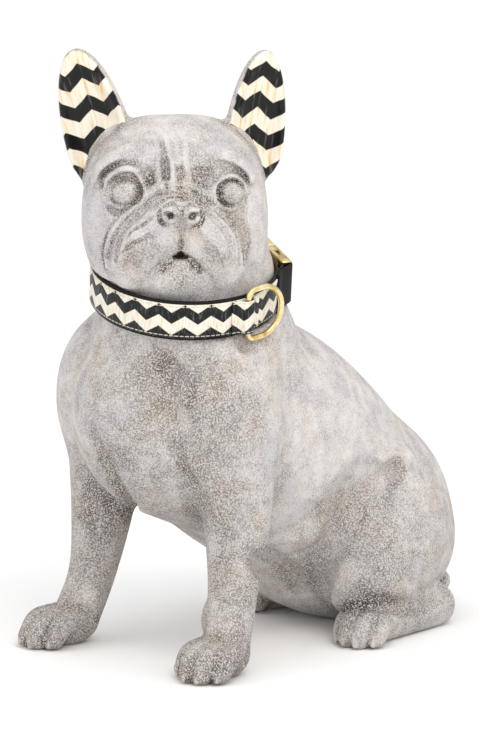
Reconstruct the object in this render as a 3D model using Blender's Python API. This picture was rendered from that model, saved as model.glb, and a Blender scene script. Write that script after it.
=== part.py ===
"""A life-size garden statue of a seated French bulldog, cast in one piece of stone-like
composition, that wears a real dog collar: black webbing, a printed ribbon sewn to it, a ring
under a sewn keeper, and a two-part metal snap buckle.

The dog faces -Y and sits on the plane Z = 0. Its head is turned to its own left, which is +X.
"""

import itertools
import math

import bmesh
import bpy
import numpy as np
from mathutils import Matrix

# Driving sizes, in metres
STATUE_HEIGHT = 0.452
WEBBING_WIDTH = 0.030
WEBBING_THICKNESS = 0.0022
RIBBON_WIDTH = 0.026
RIBBON_THICKNESS = 0.0010
STITCH_GAP = 0.0003
NECK_GAP = 0.0006
RING_INNER_WIDTH = 0.034
RING_INNER_DEPTH = 0.028
RING_WIRE = 0.0044
RING_GAP = 0.0004
KEEPER_LENGTH = 0.026
BUCKLE_THICKNESS = 0.0080
SOCKET_LENGTH = 0.034
PRONG_LENGTH = 0.016
BUCKLE_WALL = 0.0016
BUCKLE_GAP = 0.0004
BUCKLE_SIDE = 0.0014
BAR_LENGTH = 0.0028
SLOT_LENGTH = 0.0062

# The figure's own unit: a 452nd of the statue's height, so 1 mm on this statue.
# Its masses and its carving are given in it, and so are shares of the height.
UNIT = STATUE_HEIGHT / 452

# How finely the figure is blocked out, and how many triangles its solid keeps
BLOCK_STEP = 2.8
FIGURE_TRIANGLES = 6900
FOOTING = 6.0
FIGURE_LOW = np.array((-130.0, -52.0, -2.0 * FOOTING))
FIGURE_HIGH = np.array((130.0, 345.0, 460.0))

# Where the head is carried and how it is turned: degrees to the dog's left, and up
HEAD_CENTRE = np.array((17.0, 30.0, 338.0))
HEAD_YAW = 47.7
HEAD_PITCH = 0.0
HEAD_REACH = 165.0

# The side from which the folds of the body are drawn: its left front, a little from above
SIDE_YAW = 43.7
SIDE_PITCH = 9.0
SIDE_CENTRE = np.array((0.0, 116.5, 206.0))

# How far in front of the head's and the body's middle a drawn fold starts before it is laid on
FACE_START = 95.0
BODY_START = 260.0

# The collar's loop round the neck: its centre, its half-sizes to the webbing's inner face, the
# way it is tipped forward and lowered on the left, and where the ring and the buckle sit on it,
# in degrees to the dog's left from the point under the chin
COLLAR_CENTRE = np.array((8.2, 49.3, 278.8))
COLLAR_HALF_ACROSS = 66.5
COLLAR_HALF_DEEP = 73.0
COLLAR_YAW = 46.0
COLLAR_TIP = 14.5
COLLAR_ROLL = -1.5
COLLAR_STATIONS = 72
RING_BEARING = 37.0
BUCKLE_BEARING = 110.0


# The figure: masses that are blended, then carved

def unit_vector(v):
    return np.asarray(v, float) / np.linalg.norm(v)


def turned(degrees, axis):
    return np.array(Matrix.Rotation(math.radians(degrees), 3, axis))


def facing_axes(yaw, pitch):
    """Rows: left, up and forward, for something turned to the dog's left by yaw and up by pitch."""
    yaw, pitch = math.radians(yaw), math.radians(pitch)
    left = np.array((math.cos(yaw), math.sin(yaw), 0.0))
    level = np.array((math.sin(yaw), -math.cos(yaw), 0.0))
    ahead = level * math.cos(pitch) + np.array((0.0, 0.0, math.sin(pitch)))
    return np.array((left, np.cross(ahead, left), ahead))


def ball(centre, radii, softness, turn=None):
    """An ellipsoid mass. The softness is the width of the fillet where it meets the rest."""
    return {"centre": centre, "radii": radii, "turn": turn, "softness": softness}


def rounded_path(path, steps=4):
    """A smooth line through a path's points, so that it has no corners."""
    path = np.asarray(path, float)
    ends = np.vstack((2 * path[0] - path[1], path, 2 * path[-1] - path[-2]))
    smooth = []
    for i in range(len(path) - 1):
        a, b, c, d = ends[i:i + 4]
        for t in np.arange(steps) / steps:
            smooth.append(0.5 * (2 * b + (c - a) * t + (2 * a - 5 * b + 4 * c - d) * t**2
                                 + (3 * b - a - 3 * c + d) * t**3))
    return np.array(smooth + [path[-1]])


def limb(*stations, softness):
    """A round mass along a smooth line. Each station is a place and the radius there."""
    return {"spine": rounded_path(stations) if len(stations) > 2 else np.array(stations, float),
            "softness": softness}


def trunk_masses():
    """Chest, belly and rump: a heavy body that slopes from the withers to the ground."""
    return [
        limb((0, 60, 181, 83), (0, 120, 160, 87), (0, 170, 130, 84), (0, 216, 88, 82), softness=0),
        limb((0, 126, 124, 60), (0, 188, 80, 61), softness=20),
        ball((0, 236, 78), (84, 76, 78), 20),
        ball((0, 250, 56), (78, 66, 58), 16),
        ball((0, 22, 188), (52, 42, 56), 30),
        ball((2, 70, 238), (66, 60, 48), 28),
        limb((8, 58, 244, 66), (8, 50, 277, 66.5), (2, 47, 304, 60), softness=22),
        limb((-6, 294, 38, 16), (14, 304, 26, 12), (38, 303, 20, 9), softness=6),
    ]


def foreleg_masses(side):
    return [
        ball((side * 61, 38, 196), (35, 42, 58), 12, turned(-8 * side, "Y")),
        limb((side * 65, 42, 172, 32), (side * 70, 40, 104, 24), (side * 73, 32, 54, 18),
             (side * 78, 20, 20, 17.5), softness=14),
        ball((side * 58, 20, 38), (5, 5, 9), 4),
    ]


def hindleg_masses(side, tuck):
    """The folded thigh, and the long foot flat beside it. The tuck brings the leg in and back."""
    return [
        ball((side * (60 - tuck), 211, 72), (43, 59, 62), 10, turned(-14, "X")),
        ball((side * (71 - tuck), 184 + tuck, 48), (29, 36, 38), 14),
        limb((side * (78 - tuck * 0.5), 249, 15.5, 17.5), (side * (84 - tuck), 190 + tuck, 15.5, 17),
             softness=7),
    ]


def paw_masses(centre, heading, length, width):
    """A paw of four toes. The heading is in degrees to the dog's left of straight ahead."""
    heading = math.radians(heading)
    ahead = np.array((math.sin(heading), -math.cos(heading), 0.0))
    across = np.array((math.cos(heading), math.sin(heading), 0.0))
    centre = np.asarray(centre, float)
    masses = [ball(centre - ahead * length * 0.12 + (0, 0, 13), (width * 0.42, length * 0.42, 15), 5,
                   turned(math.degrees(heading), "Z"))]
    for place in (-1.5, -0.5, 0.5, 1.5):
        reach, radius = (0.30, 8.2) if abs(place) > 1.0 else (0.44, 9.4)
        root = centre + across * place * width * 0.20 - ahead * length * 0.14 + (0, 0, 20)
        bend = centre + across * place * width * 0.245 + ahead * length * (reach - 0.16) + (0, 0, 17)
        tip = centre + across * place * width * 0.25 + ahead * length * reach + (0, 0, 8)
        masses.append(limb((*root, radius), (*bend, radius), (*tip, radius - 1.2), softness=2.6))
    return masses


def body_masses():
    masses = trunk_masses()
    for side, tuck in ((-1, 30), (1, 0)):
        masses += foreleg_masses(side)
        masses += hindleg_masses(side, tuck)
        masses += paw_masses((side * 81, 5 + side, 0), 8 * side, 54, 45)
        masses += paw_masses((side * (86 - tuck), 168 + 1.2 * tuck, 0), 10 * side - 0.3 * tuck, 50, 42)
    return masses


def head_masses():
    """Skull, cheeks, brows and the short muzzle, as left, up and forward in the head's frame."""
    masses = [ball((0, 8, -8), (58, 57, 60), 0)]
    for side in (-1, 1):
        masses.append(ball((side * 24, 28, -12), (36, 33, 46), 12))
        masses.append(ball((side * 34, -11, 0), (34, 55, 44), 14))
        masses.append(ball((side * 33, 34, 27), (21, 13, 18), 12))
    masses.append(ball((0, -14, 24), (46, 34, 34), 14))
    masses.append(ball((0, -44, 16), (46, 18, 34), 12))
    for side in (-1, 1):
        masses.append(limb((0, 20, 46, 8.5), (side * 22, 12, 43, 9.5), (side * 38, -8, 34, 12), softness=4))
        masses.append(limb((side * 10, -7, 51, 15), (side * 25, -23, 44, 20), (side * 32, -40, 35, 17.5),
                           softness=5))
    masses.append(ball((-2, -45, 40), (24, 17, 17), 5))
    masses.append(ball((0, 3.5, 63), (13.5, 8.8, 10), 2.5))
    return masses


EYEBALLS = (
    ball((-36.7, 17.0, 42.0), (10.4, 10.0, 11.0), 0.8),
    ball((37.6, 15.6, 42.0), (9.8, 9.6, 11.0), 0.8),
)
SOCKETS = (
    ball((-36.7, 17.0, 51.0), (13.4, 13.0, 8.0), 3.0),
    ball((37.6, 15.6, 51.0), (12.6, 12.4, 8.0), 3.0),
)
NOSTRILS = (
    limb((-6.2, 3.0, 73, 2.8), (-11.0, 4.8, 69, 2.2), softness=1.0),
    limb((6.2, 3.0, 73, 2.8), (11.0, 4.8, 69, 2.2), softness=1.0),
)

# Each ear is a flattened egg, hollowed in front. It is given by its side, the place where it is
# widest, its tip, its half-width there, and how far it reaches below that place.
EARS = (
    (-1, (-53, 42, -13), (-72, 113.5, -8), 26.0, 34.0),
    (1, (58, 42, -13), (66.5, 112, -8), 23.5, 29.0),
)
EAR_HALF_DEPTH = 12.0
EAR_OUTWARD = 0.32
EAR_RIM = 2.6
EAR_HOLLOW = 10.0


def ear_masses():
    """Pairs of a shell and the hollow in its front."""
    pairs = []
    for side, centre, tip, half_width, below in EARS:
        centre, tip = np.asarray(centre, float), np.asarray(tip, float)
        length = np.linalg.norm(tip - centre)
        along = (tip - centre) / length
        facing = np.array((side * EAR_OUTWARD, 0.0, 1.0))
        facing = unit_vector(facing - along * (along @ facing))
        turn = np.column_stack((np.cross(along, facing), along, facing))
        shell = ball(centre, (half_width, length, EAR_HALF_DEPTH), 7, turn)
        inner = (half_width - EAR_RIM, length - EAR_RIM, EAR_HALF_DEPTH)
        hollow = ball(centre + facing * EAR_HOLLOW, inner, 2, turn)
        shell["below"] = below
        hollow["below"] = below - EAR_RIM
        pairs.append((shell, hollow))
    return pairs


HEAD_AXES = facing_axes(HEAD_YAW, HEAD_PITCH)
SIDE_AXES = facing_axes(SIDE_YAW, SIDE_PITCH)


def to_head(points):
    return (points - HEAD_CENTRE) @ HEAD_AXES.T


def distance(points, mass):
    """Signed distance to a mass, below zero inside it."""
    if "spine" in mass:
        nearest = np.full(len(points), 1e9)
        for start, end in zip(mass["spine"][:-1], mass["spine"][1:]):
            line = end[:3] - start[:3]
            local = points - start[:3]
            share = np.clip(local @ line / (line @ line), 0.0, 1.0)
            local -= share[:, None] * line
            away = np.sqrt(np.einsum("ij,ij->i", local, local)) - start[3] - share * (end[3] - start[3])
            nearest = np.minimum(nearest, away)
        return nearest
    local = points - np.asarray(mass["centre"], float)
    if mass["turn"] is not None:
        local = local @ mass["turn"]
    radii = np.tile(np.asarray(mass["radii"], float), (len(points), 1))
    if "below" in mass:
        radii[local[:, 1] < 0, 1] = mass["below"]
    local = local / radii
    reach = np.sqrt(np.einsum("ij,ij->i", local, local))
    local = local / radii
    slope = np.sqrt(np.einsum("ij,ij->i", local, local)) + 1e-9
    return reach * (reach - 1.0) / slope


def join(first, second, softness):
    """The union of two forms, with a fillet about as wide as the softness."""
    mix = np.clip(0.5 + 0.5 * (second - first) / softness, 0.0, 1.0)
    return second + (first - second) * mix - softness * mix * (1.0 - mix)


def cut(first, second, softness):
    """What is left of the first form when the second is taken out of it."""
    return -join(-first, second, softness)


def blended(points, masses):
    form = distance(points, masses[0])
    for mass in masses[1:]:
        form = join(form, distance(points, mass), mass["softness"])
    return form


BODY_MASSES = body_masses()
HEAD_MASSES = head_masses()
EAR_MASSES = ear_masses()


def head_form(head):
    form = blended(head, HEAD_MASSES)
    for shell, hollow in EAR_MASSES:
        ear = cut(distance(head, shell), distance(head, hollow), hollow["softness"])
        form = join(form, ear, shell["softness"])
    return form


def base_form(points):
    """The whole figure before it is carved."""
    form = blended(points, BODY_MASSES)
    near = ((points - HEAD_CENTRE) ** 2).sum(1) < HEAD_REACH**2
    if near.any():
        form[near] = join(form[near], head_form(to_head(points[near])), 10)
    return form


# Carving. Each stroke is a line along the surface, then the half-width and the depth of its
# groove. A negative depth raises a ridge. The lines are given as left and up, in units.

# Drawn from in front of the face
FACE_STROKES = (
    # the folds that run from the nose roll round the muzzle to the jaw
    (((-20, 15), (-34, 4), (-46, -10), (-50, -29), (-49, -46)), 3.0, 2.2),
    (((-15, 8), (-29, -4), (-41, -18), (-46, -34)), 2.6, 1.8),
    (((11, 16), (25, 10), (40, -6), (51, -23), (52, -40)), 3.0, 2.0),
    (((15, 7), (31, -2), (41, -17), (46, -34)), 2.6, 1.8),
    # the roll above the nose
    (((-17, 6), (-11, 12), (0, 14), (11, 12), (17, 6)), 2.0, 1.6),
    (((-26, 13), (-12, 24), (0, 28), (13, 24), (24, 15)), 2.6, 2.4),
    # the furrows of the forehead
    (((-10, 52), (-9, 38), (-7, 27)), 2.2, 2.2),
    (((1, 46), (1, 36), (0, 26)), 2.2, 2.6),
    (((17, 46), (18, 34), (16, 25)), 3.6, 2.4),
    (((-24, 40), (-22, 28), (-18, 20)), 3.6, 2.6),
    # creases over and under the eyes
    (((-55, 14), (-51, 25), (-43, 32), (-31, 32), (-23, 25)), 2.2, 1.8),
    (((-51, 6), (-39, 0), (-26, 4)), 2.2, 1.6),
    (((24, 23), (31, 30), (41, 29), (50, 18)), 2.2, 1.8),
    (((26, 5), (37, 0), (49, 6)), 2.2, 1.6),
    # the raised brows
    (((-57, 18), (-53, 30), (-45, 38), (-36, 42), (-24, 44)), 3.0, -1.8),
    (((19, 44), (33, 40), (43, 35), (52, 22)), 3.0, -1.8),
    # the split lip and the line of the mouth
    (((0, -4), (0, -24)), 1.6, 1.8),
    (((0, -25), (-4, -29), (-12, -33), (-19, -40), (-24, -48), (-25, -56)), 2.2, 3.0),
    (((0, -25), (5, -29), (11, -36), (17, -43), (23, -52)), 2.2, 3.0),
)

# Drawn from the left front of the body
BODY_STROKES = (
    # the folds of the neck under the collar
    (((-68, 20), (-60, 6), (-52, -8)), 6.0, 2.2),
    # the hollows beside the breastbone
    (((-24, -2), (-33, -14), (-34, -28), (-28, -42)), 8.0, 2.4),
    # the grooves between the chest and the forelegs
    (((-50, -58), (-35, -74), (-24, -90), (-19, -103), (-18, -116)), 6.0, 4.6),
    (((-113, -45), (-104, -65), (-96, -84), (-80, -106)), 5.0, 2.8),
    # the long fold between the flank and the thigh
    (((117, -75), (99, -87), (78, -109), (61, -138), (60, -156)), 7.0, 4.4),
    # the crease between the thigh and the foot
    (((90, -172), (110, -178), (132, -177), (154, -171)), 3.6, 3.2),
)


# The shallow hollow in which the lower side of the collar's ring lies
RING_HOLLOW = limb((81, 37, 243, 7), (83.5, 48, 243.5, 7), (85.5, 61, 246, 7), softness=5)


def laid_stroke(stroke, form, centre, axes, start):
    """Lays a drawn line on a form from in front of it, and makes a round tool of it."""
    path, half_width, depth = stroke
    path = rounded_path(path)
    place = path @ axes[:2] + axes[2] * start + centre
    for _ in range(90):
        place = place - axes[2] * (0.7 * np.clip(form(place), -4.0, 30.0))[:, None]
    radius = (half_width**2 + depth**2) / (2 * abs(depth))
    lift = math.copysign(radius - abs(depth), depth)
    return place + axes[2] * lift, radius, depth


def path_distance(points, path):
    """Distance to a line of several stretches, and the share of its length at the nearest point."""
    lengths = np.sqrt((np.diff(path, axis=0) ** 2).sum(1))
    starts = np.concatenate(((0.0,), np.cumsum(lengths)))
    best = np.full(len(points), 1e9)
    share = np.zeros(len(points))
    for i, length in enumerate(lengths):
        line = path[i + 1] - path[i]
        local = points - path[i]
        t = np.clip(local @ line / length**2, 0.0, 1.0)
        local -= t[:, None] * line
        away = np.sqrt(np.einsum("ij,ij->i", local, local))
        nearer = away < best
        best = np.where(nearer, away, best)
        share = np.where(nearer, (starts[i] + t * length) / starts[-1], share)
    return best, share


def carve(form, points, tool):
    """Cuts a round tool's groove into a form, or adds its ridge, fading towards both ends."""
    path, radius, depth = tool
    reach = radius + 6.0
    near = np.all((points > path.min(0) - reach) & (points < path.max(0) + reach), axis=1)
    if near.any():
        away, share = path_distance(points[near], path)
        fade = np.clip(np.minimum(share, 1.0 - share) / 0.18, 0.0, 1.0)
        groove = away - radius + (1.0 - fade) * abs(depth)
        softness = 0.6 * abs(depth) + 0.25 * radius
        form[near] = (cut if depth > 0 else join)(form[near], groove, softness)


FACE_TOOLS = [laid_stroke(stroke, head_form, np.zeros(3), np.eye(3), FACE_START) for stroke in FACE_STROKES]
BODY_TOOLS = [laid_stroke(stroke, base_form, SIDE_CENTRE, SIDE_AXES, BODY_START) for stroke in BODY_STROKES]


def figure_form(points):
    """The carved figure: below zero inside it."""
    form = base_form(points)
    for tool in BODY_TOOLS:
        carve(form, points, tool)
    form = cut(form, distance(points, RING_HOLLOW), RING_HOLLOW["softness"])
    near = ((points - HEAD_CENTRE) ** 2).sum(1) < HEAD_REACH**2
    if near.any():
        head, face = to_head(points[near]), form[near]
        for tool in FACE_TOOLS:
            carve(face, head, tool)
        for hollow in SOCKETS + NOSTRILS:
            face = cut(face, distance(head, hollow), hollow["softness"])
        for eye in EYEBALLS:
            face = join(face, distance(head, eye), eye["softness"])
        form[near] = face
    return form


# Building the figure's solid

def fill_pinches(values, depth):
    """Fills each place where a form would touch itself along a line or at a point of the grid."""
    ends = (slice(None, -1), slice(1, None))
    for _ in range(6):
        for axes in ((0, 1), (0, 2), (1, 2), (0, 1, 2)):
            corners = []
            for ways in itertools.product((0, 1), repeat=len(axes)):
                window = [slice(None)] * 3
                for axis, way in zip(axes, ways):
                    window[axis] = ends[way]
                corners.append(values[tuple(window)])
            inside = np.array([corner < 0 for corner in corners])
            count = inside.sum(axis=0)
            last = len(corners) - 1
            pinched = np.zeros(count.shape, bool)
            for i in range(len(corners) // 2):
                pinched |= inside[i] & inside[last - i] & (count == 2)
                pinched |= ~(inside[i] | inside[last - i]) & (count == last - 1)
            for corner in corners:
                corner[pinched] = np.minimum(corner[pinched], -depth)


def netted(form, low, high, step):
    """A mesh round the zero level of a form, with one vertex in each cell that the surface crosses."""
    blocks = np.ceil((np.asarray(high) - low) / (4 * step)).astype(int)
    corners = np.indices(blocks).reshape(3, -1).T * 4
    rough = form(low + (corners + 2.0) * step)
    values = rough.reshape(blocks).repeat(4, 0).repeat(4, 1).repeat(4, 2)
    near = corners[np.abs(rough) < 4.8 * step]
    fine = (near[:, None, :] + np.indices((4, 4, 4)).reshape(3, -1).T[None]).reshape(-1, 3)
    values[tuple(fine.T)] = form(low + (fine + 0.5) * step)
    fill_pinches(values, 0.1 * step)
    inside = values < 0
    keys, places, quads = [], [], []
    for axis in range(3):
        here = [slice(None)] * 3
        there = [slice(None)] * 3
        here[axis], there[axis] = slice(None, -1), slice(1, None)
        index = np.argwhere(inside[tuple(here)] != inside[tuple(there)])
        ahead = index + np.eye(3, dtype=int)[axis]
        first, second = values[tuple(index.T)], values[tuple(ahead.T)]
        crossing = index + np.eye(3)[axis] * (first / (first - second))[:, None]
        right, back = np.eye(3, dtype=int)[(axis + 1) % 3], np.eye(3, dtype=int)[(axis + 2) % 3]
        ring = [np.ravel_multi_index((index - offset).T, values.shape)
                for offset in (0 * right, right, right + back, back)]
        ring = np.column_stack(ring)
        quads.append(np.where((first < 0)[:, None], ring, ring[:, ::-1]))
        keys.append(ring.ravel())
        places.append(crossing.repeat(4, axis=0))
    keys, places, quads = np.concatenate(keys), np.concatenate(places), np.concatenate(quads)
    cells, number = np.unique(keys, return_inverse=True)
    count = np.bincount(number)
    points = np.column_stack([np.bincount(number, places[:, axis]) / count for axis in range(3)])
    mesh = bpy.data.meshes.new("netted")
    mesh.from_pydata((low + (points + 0.5) * step).tolist(), [], np.searchsorted(cells, quads).tolist())
    return mesh


def modified(mesh, kind, **settings):
    """The mesh that one modifier makes of another mesh."""
    obj = bpy.data.objects.new("work", mesh)
    bpy.context.scene.collection.objects.link(obj)
    modifier = obj.modifiers.new(kind, kind)
    for name, value in settings.items():
        setattr(modifier, name, value)
    made = bpy.data.meshes.new_from_object(obj.evaluated_get(bpy.context.evaluated_depsgraph_get()))
    bpy.data.objects.remove(obj)
    return made


def mesh_points(mesh):
    points = np.zeros(len(mesh.vertices) * 3)
    mesh.vertices.foreach_get("co", points)
    return points.reshape(-1, 3)


def settle(mesh, form, rounds):
    """Evens out the vertices and moves each onto the surface of a form, several times over."""
    points = mesh_points(mesh)
    edges = np.zeros(len(mesh.edges) * 2, int)
    mesh.edges.foreach_get("vertices", edges)
    ends = np.concatenate((edges.reshape(-1, 2), edges.reshape(-1, 2)[:, ::-1]))
    count = np.bincount(ends[:, 0], minlength=len(points))[:, None]
    nudge = 0.05
    for _ in range(rounds):
        around = np.column_stack([np.bincount(ends[:, 0], points[ends[:, 1], axis], len(points))
                                  for axis in range(3)])
        points = 0.5 * (points + around / count)
        value = form(points)
        slope = np.column_stack([form(points + offset) - value for offset in np.eye(3) * nudge]) / nudge
        steep = np.clip((slope**2).sum(1), 0.3, None)
        points = points - (np.clip(value, -1.5, 1.5) / steep)[:, None] * slope
    mesh.vertices.foreach_set("co", points.ravel())
    mesh.update()


def footed_form(points):
    """The carved figure, cut off flat a little way under the ground."""
    return np.maximum(figure_form(points), -points[:, 2] - FOOTING)


def add_object(name, mesh, material):
    obj = bpy.data.objects.new(name, mesh)
    bpy.context.scene.collection.objects.link(obj)
    obj.data.materials.clear()
    obj.data.materials.append(material)
    return obj


def take_away(obj, cutter):
    """Cuts one solid out of another, and keeps the result as the first one's own mesh."""
    modifier = obj.modifiers.new("cut", "BOOLEAN")
    modifier.operation = "DIFFERENCE"
    modifier.solver = "EXACT"
    modifier.object = cutter
    made = bpy.data.meshes.new_from_object(obj.evaluated_get(bpy.context.evaluated_depsgraph_get()))
    obj.modifiers.remove(modifier)
    obj.data = made
    bpy.data.objects.remove(cutter)


def build_figure(material):
    """The dog: blocked out, made coarser where it is plain, cut level, and fitted to its collar."""
    mesh = netted(footed_form, FIGURE_LOW, FIGURE_HIGH, BLOCK_STEP)
    settle(mesh, footed_form, 2)
    mesh = modified(mesh, "DECIMATE", ratio=FIGURE_TRIANGLES / (2 * len(mesh.polygons)))
    work = bmesh.new()
    work.from_mesh(mesh)
    level = bmesh.ops.bisect_plane(work, geom=work.verts[:] + work.edges[:] + work.faces[:], dist=1e-4,
                                   plane_co=(0, 0, 0), plane_no=(0, 0, -1), clear_outer=True)
    rims = [item for item in level["geom_cut"] if isinstance(item, bmesh.types.BMEdge)]
    bmesh.ops.holes_fill(work, edges=rims)
    bmesh.ops.triangulate(work, faces=[face for face in work.faces if len(face.verts) > 3])
    bmesh.ops.recalc_face_normals(work, faces=work.faces[:])
    bmesh.ops.scale(work, vec=(UNIT, UNIT, UNIT), verts=work.verts[:])
    work.to_mesh(mesh)
    work.free()
    figure = add_object("bulldog", mesh, material)
    bearings = np.linspace(0, 360, COLLAR_STATIONS + 1)[:-1]
    take_away(figure, band("seat", SEAT_OFFSETS, SEAT_WIDTH, bearings, material))
    return figure


# The collar's own directions: to the dog's left, to its front, and up through the loop

def collar_axes():
    level = facing_axes(COLLAR_YAW, 0.0)
    tip, roll = math.radians(COLLAR_TIP), math.radians(COLLAR_ROLL)
    front = level[2] * math.cos(tip) - level[1] * math.sin(tip)
    up = level[1] * math.cos(tip) + level[2] * math.sin(tip)
    left = level[0] * math.cos(roll) + up * math.sin(roll)
    return np.array((left, front, up * math.cos(roll) - level[0] * math.sin(roll)))


COLLAR_AXES = collar_axes()
BUCKLE_WIDTH = WEBBING_WIDTH + 2 * (BUCKLE_GAP + BUCKLE_SIDE)
SEAT_OFFSETS = (-NECK_GAP, 0.016)
SEAT_WIDTH = max(WEBBING_WIDTH, BUCKLE_WIDTH) + 2 * NECK_GAP
WEBBING_MIDDLE = WEBBING_THICKNESS / 2
RIBBON_INNER = WEBBING_THICKNESS + STITCH_GAP
RIBBON_OUTER = RIBBON_INNER + RIBBON_THICKNESS
RING_OFFSET = RIBBON_OUTER + RING_GAP + RING_WIRE / 2
KEEPER_TOP = RING_OFFSET + RING_WIRE / 2 + RING_GAP
LOOP_RADIUS = 0.0005 * (COLLAR_HALF_ACROSS + COLLAR_HALF_DEEP)


def loop_point(bearing, offset):
    """A point that far outside the webbing's inner face, as left and front in the collar's plane."""
    angle = np.radians(bearing)
    return np.stack(((COLLAR_HALF_ACROSS * UNIT + offset) * np.sin(angle),
                     (COLLAR_HALF_DEEP * UNIT + offset) * np.cos(angle)), axis=-1)


def loop_frame(bearing):
    """A point of the webbing's inner face, the way the loop runs on to the left there, and out of it."""
    onward = unit_vector(loop_point(bearing + 1, 0.0) - loop_point(bearing - 1, 0.0))
    return loop_point(bearing, 0.0), onward, np.array((-onward[1], onward[0]))


def collar_place(points):
    """From left, front and up in the collar's frame to a place in the world."""
    return np.asarray(points, float) @ COLLAR_AXES + COLLAR_CENTRE * UNIT


def ring_of_quads(count, size, closed):
    """Faces that join rows of points, each row a closed ring of the same size."""
    faces = []
    for row in range(count if closed else count - 1):
        following = (row + 1) % count
        for column in range(size):
            beside = (column + 1) % size
            faces.append((row * size + column, row * size + beside, following * size + beside,
                          following * size + column))
    if not closed:
        faces.append(tuple(range(size))[::-1])
        faces.append(tuple((count - 1) * size + column for column in range(size)))
    return faces


def solid(name, points, faces, material):
    """A closed solid from points and faces, with all of its faces turned outwards."""
    mesh = bpy.data.meshes.new(name)
    mesh.from_pydata([tuple(point) for point in points], [], faces)
    work = bmesh.new()
    work.from_mesh(mesh)
    bmesh.ops.recalc_face_normals(work, faces=work.faces[:])
    work.to_mesh(mesh)
    work.free()
    return add_object(name, mesh, material)


def strap(name, middle, thickness, width, material, closed=False):
    """A flat strap that follows a line in the collar's plane."""
    middle = np.asarray(middle, float)
    if closed:
        along = np.roll(middle, -1, axis=0) - np.roll(middle, 1, axis=0)
    else:
        along = np.gradient(middle, axis=0)
    along = along / np.linalg.norm(along, axis=1)[:, None]
    side = np.column_stack((along[:, 1], -along[:, 0])) * thickness / 2
    points = []
    for centre, offset in zip(middle, side):
        points.append((*(centre + offset), -width / 2))
        points.append((*(centre + offset), width / 2))
        points.append((*(centre - offset), width / 2))
        points.append((*(centre - offset), -width / 2))
    return solid(name, collar_place(points), ring_of_quads(len(middle), 4, closed), material)


def band(name, offsets, width, bearings, material):
    """A whole loop between two offsets from the webbing's inner face."""
    middle = loop_point(bearings, sum(offsets) / 2)
    return strap(name, middle, offsets[1] - offsets[0], width, material, closed=True)


# Where the buckle's two bars lie: their bearings and their offset from the loop
HALF_BUCKLE = (SOCKET_LENGTH + BUCKLE_GAP + PRONG_LENGTH) / 2
BUCKLE_MIDDLE = NECK_GAP + BUCKLE_THICKNESS / 2
BAR_REACH = HALF_BUCKLE - BAR_LENGTH / 2
BAR_ANGLE = math.degrees(math.atan2(BAR_REACH, LOOP_RADIUS + BUCKLE_MIDDLE))
FOLD_RADIUS = BAR_LENGTH / math.sqrt(2) + BUCKLE_GAP + WEBBING_THICKNESS / 2
LIFT_ANGLE = 11.0
TAIL_ANGLE = 7.0
RIBBON_ANGLE = BAR_ANGLE + LIFT_ANGLE + TAIL_ANGLE + 2.0


def eased(share):
    share = np.clip(share, 0.0, 1.0)
    return share * share * (3.0 - 2.0 * share)


def webbing_end(side):
    """From the loop to the buckle's bar, round the bar, and back over the strap a little way."""
    origin, onward, outward = loop_frame(BUCKLE_BEARING)
    away = side * onward
    bar = origin + away * BAR_REACH + outward * BUCKLE_MIDDLE
    doubled = WEBBING_MIDDLE + WEBBING_THICKNESS + STITCH_GAP
    lift = math.radians(LIFT_ANGLE) * LOOP_RADIUS
    share = np.linspace(0.0, 1.0, 7)[1:]
    bearings = BUCKLE_BEARING + side * (BAR_ANGLE + LIFT_ANGLE * share)
    runs = []
    for offset, height in ((WEBBING_MIDDLE, -FOLD_RADIUS), (doubled, FOLD_RADIUS)):
        level = bar + outward * height + np.outer(lift * share, away)
        runs.append(level + (loop_point(bearings, offset) - level) * eased(share)[:, None])
    turns = np.radians(np.linspace(-90, 90, 9))
    fold = [bar + FOLD_RADIUS * (outward * math.sin(turn) - away * math.cos(turn)) for turn in turns]
    tail = loop_point(BUCKLE_BEARING + side * (BAR_ANGLE + LIFT_ANGLE + TAIL_ANGLE), doubled)
    return [*runs[0][::-1], *fold, *runs[1], tail]


def build_webbing(material):
    round_loop = np.linspace(BAR_ANGLE + LIFT_ANGLE, 360 - BAR_ANGLE - LIFT_ANGLE, COLLAR_STATIONS)[1:-1]
    loop = [loop_point(BUCKLE_BEARING + angle, WEBBING_MIDDLE) for angle in round_loop]
    return strap("collar_webbing", webbing_end(1)[::-1] + loop + webbing_end(-1), WEBBING_THICKNESS,
                 WEBBING_WIDTH, material)


def build_ribbon(material):
    bearings = BUCKLE_BEARING + np.linspace(RIBBON_ANGLE, 360 - RIBBON_ANGLE, COLLAR_STATIONS)
    middle = loop_point(bearings, (RIBBON_INNER + RIBBON_OUTER) / 2)
    return strap("collar_ribbon", middle, RIBBON_THICKNESS, RIBBON_WIDTH, material)


def build_keeper(material):
    """The short strip that is sewn over the ring's bar."""
    place = np.linspace(-KEEPER_LENGTH / 2, KEEPER_LENGTH / 2, 23)
    rise = np.exp(-(place / (1.35 * RING_WIRE)) ** 4)
    low = RIBBON_OUTER + STITCH_GAP + RIBBON_THICKNESS / 2
    high = KEEPER_TOP + RIBBON_THICKNESS / 2
    bearings = RING_BEARING + np.degrees(place / (LOOP_RADIUS + low))
    return strap("ring_keeper", loop_point(bearings, low + (high - low) * rise), RIBBON_THICKNESS,
                 RIBBON_WIDTH - 2 * STITCH_GAP, material)


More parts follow.
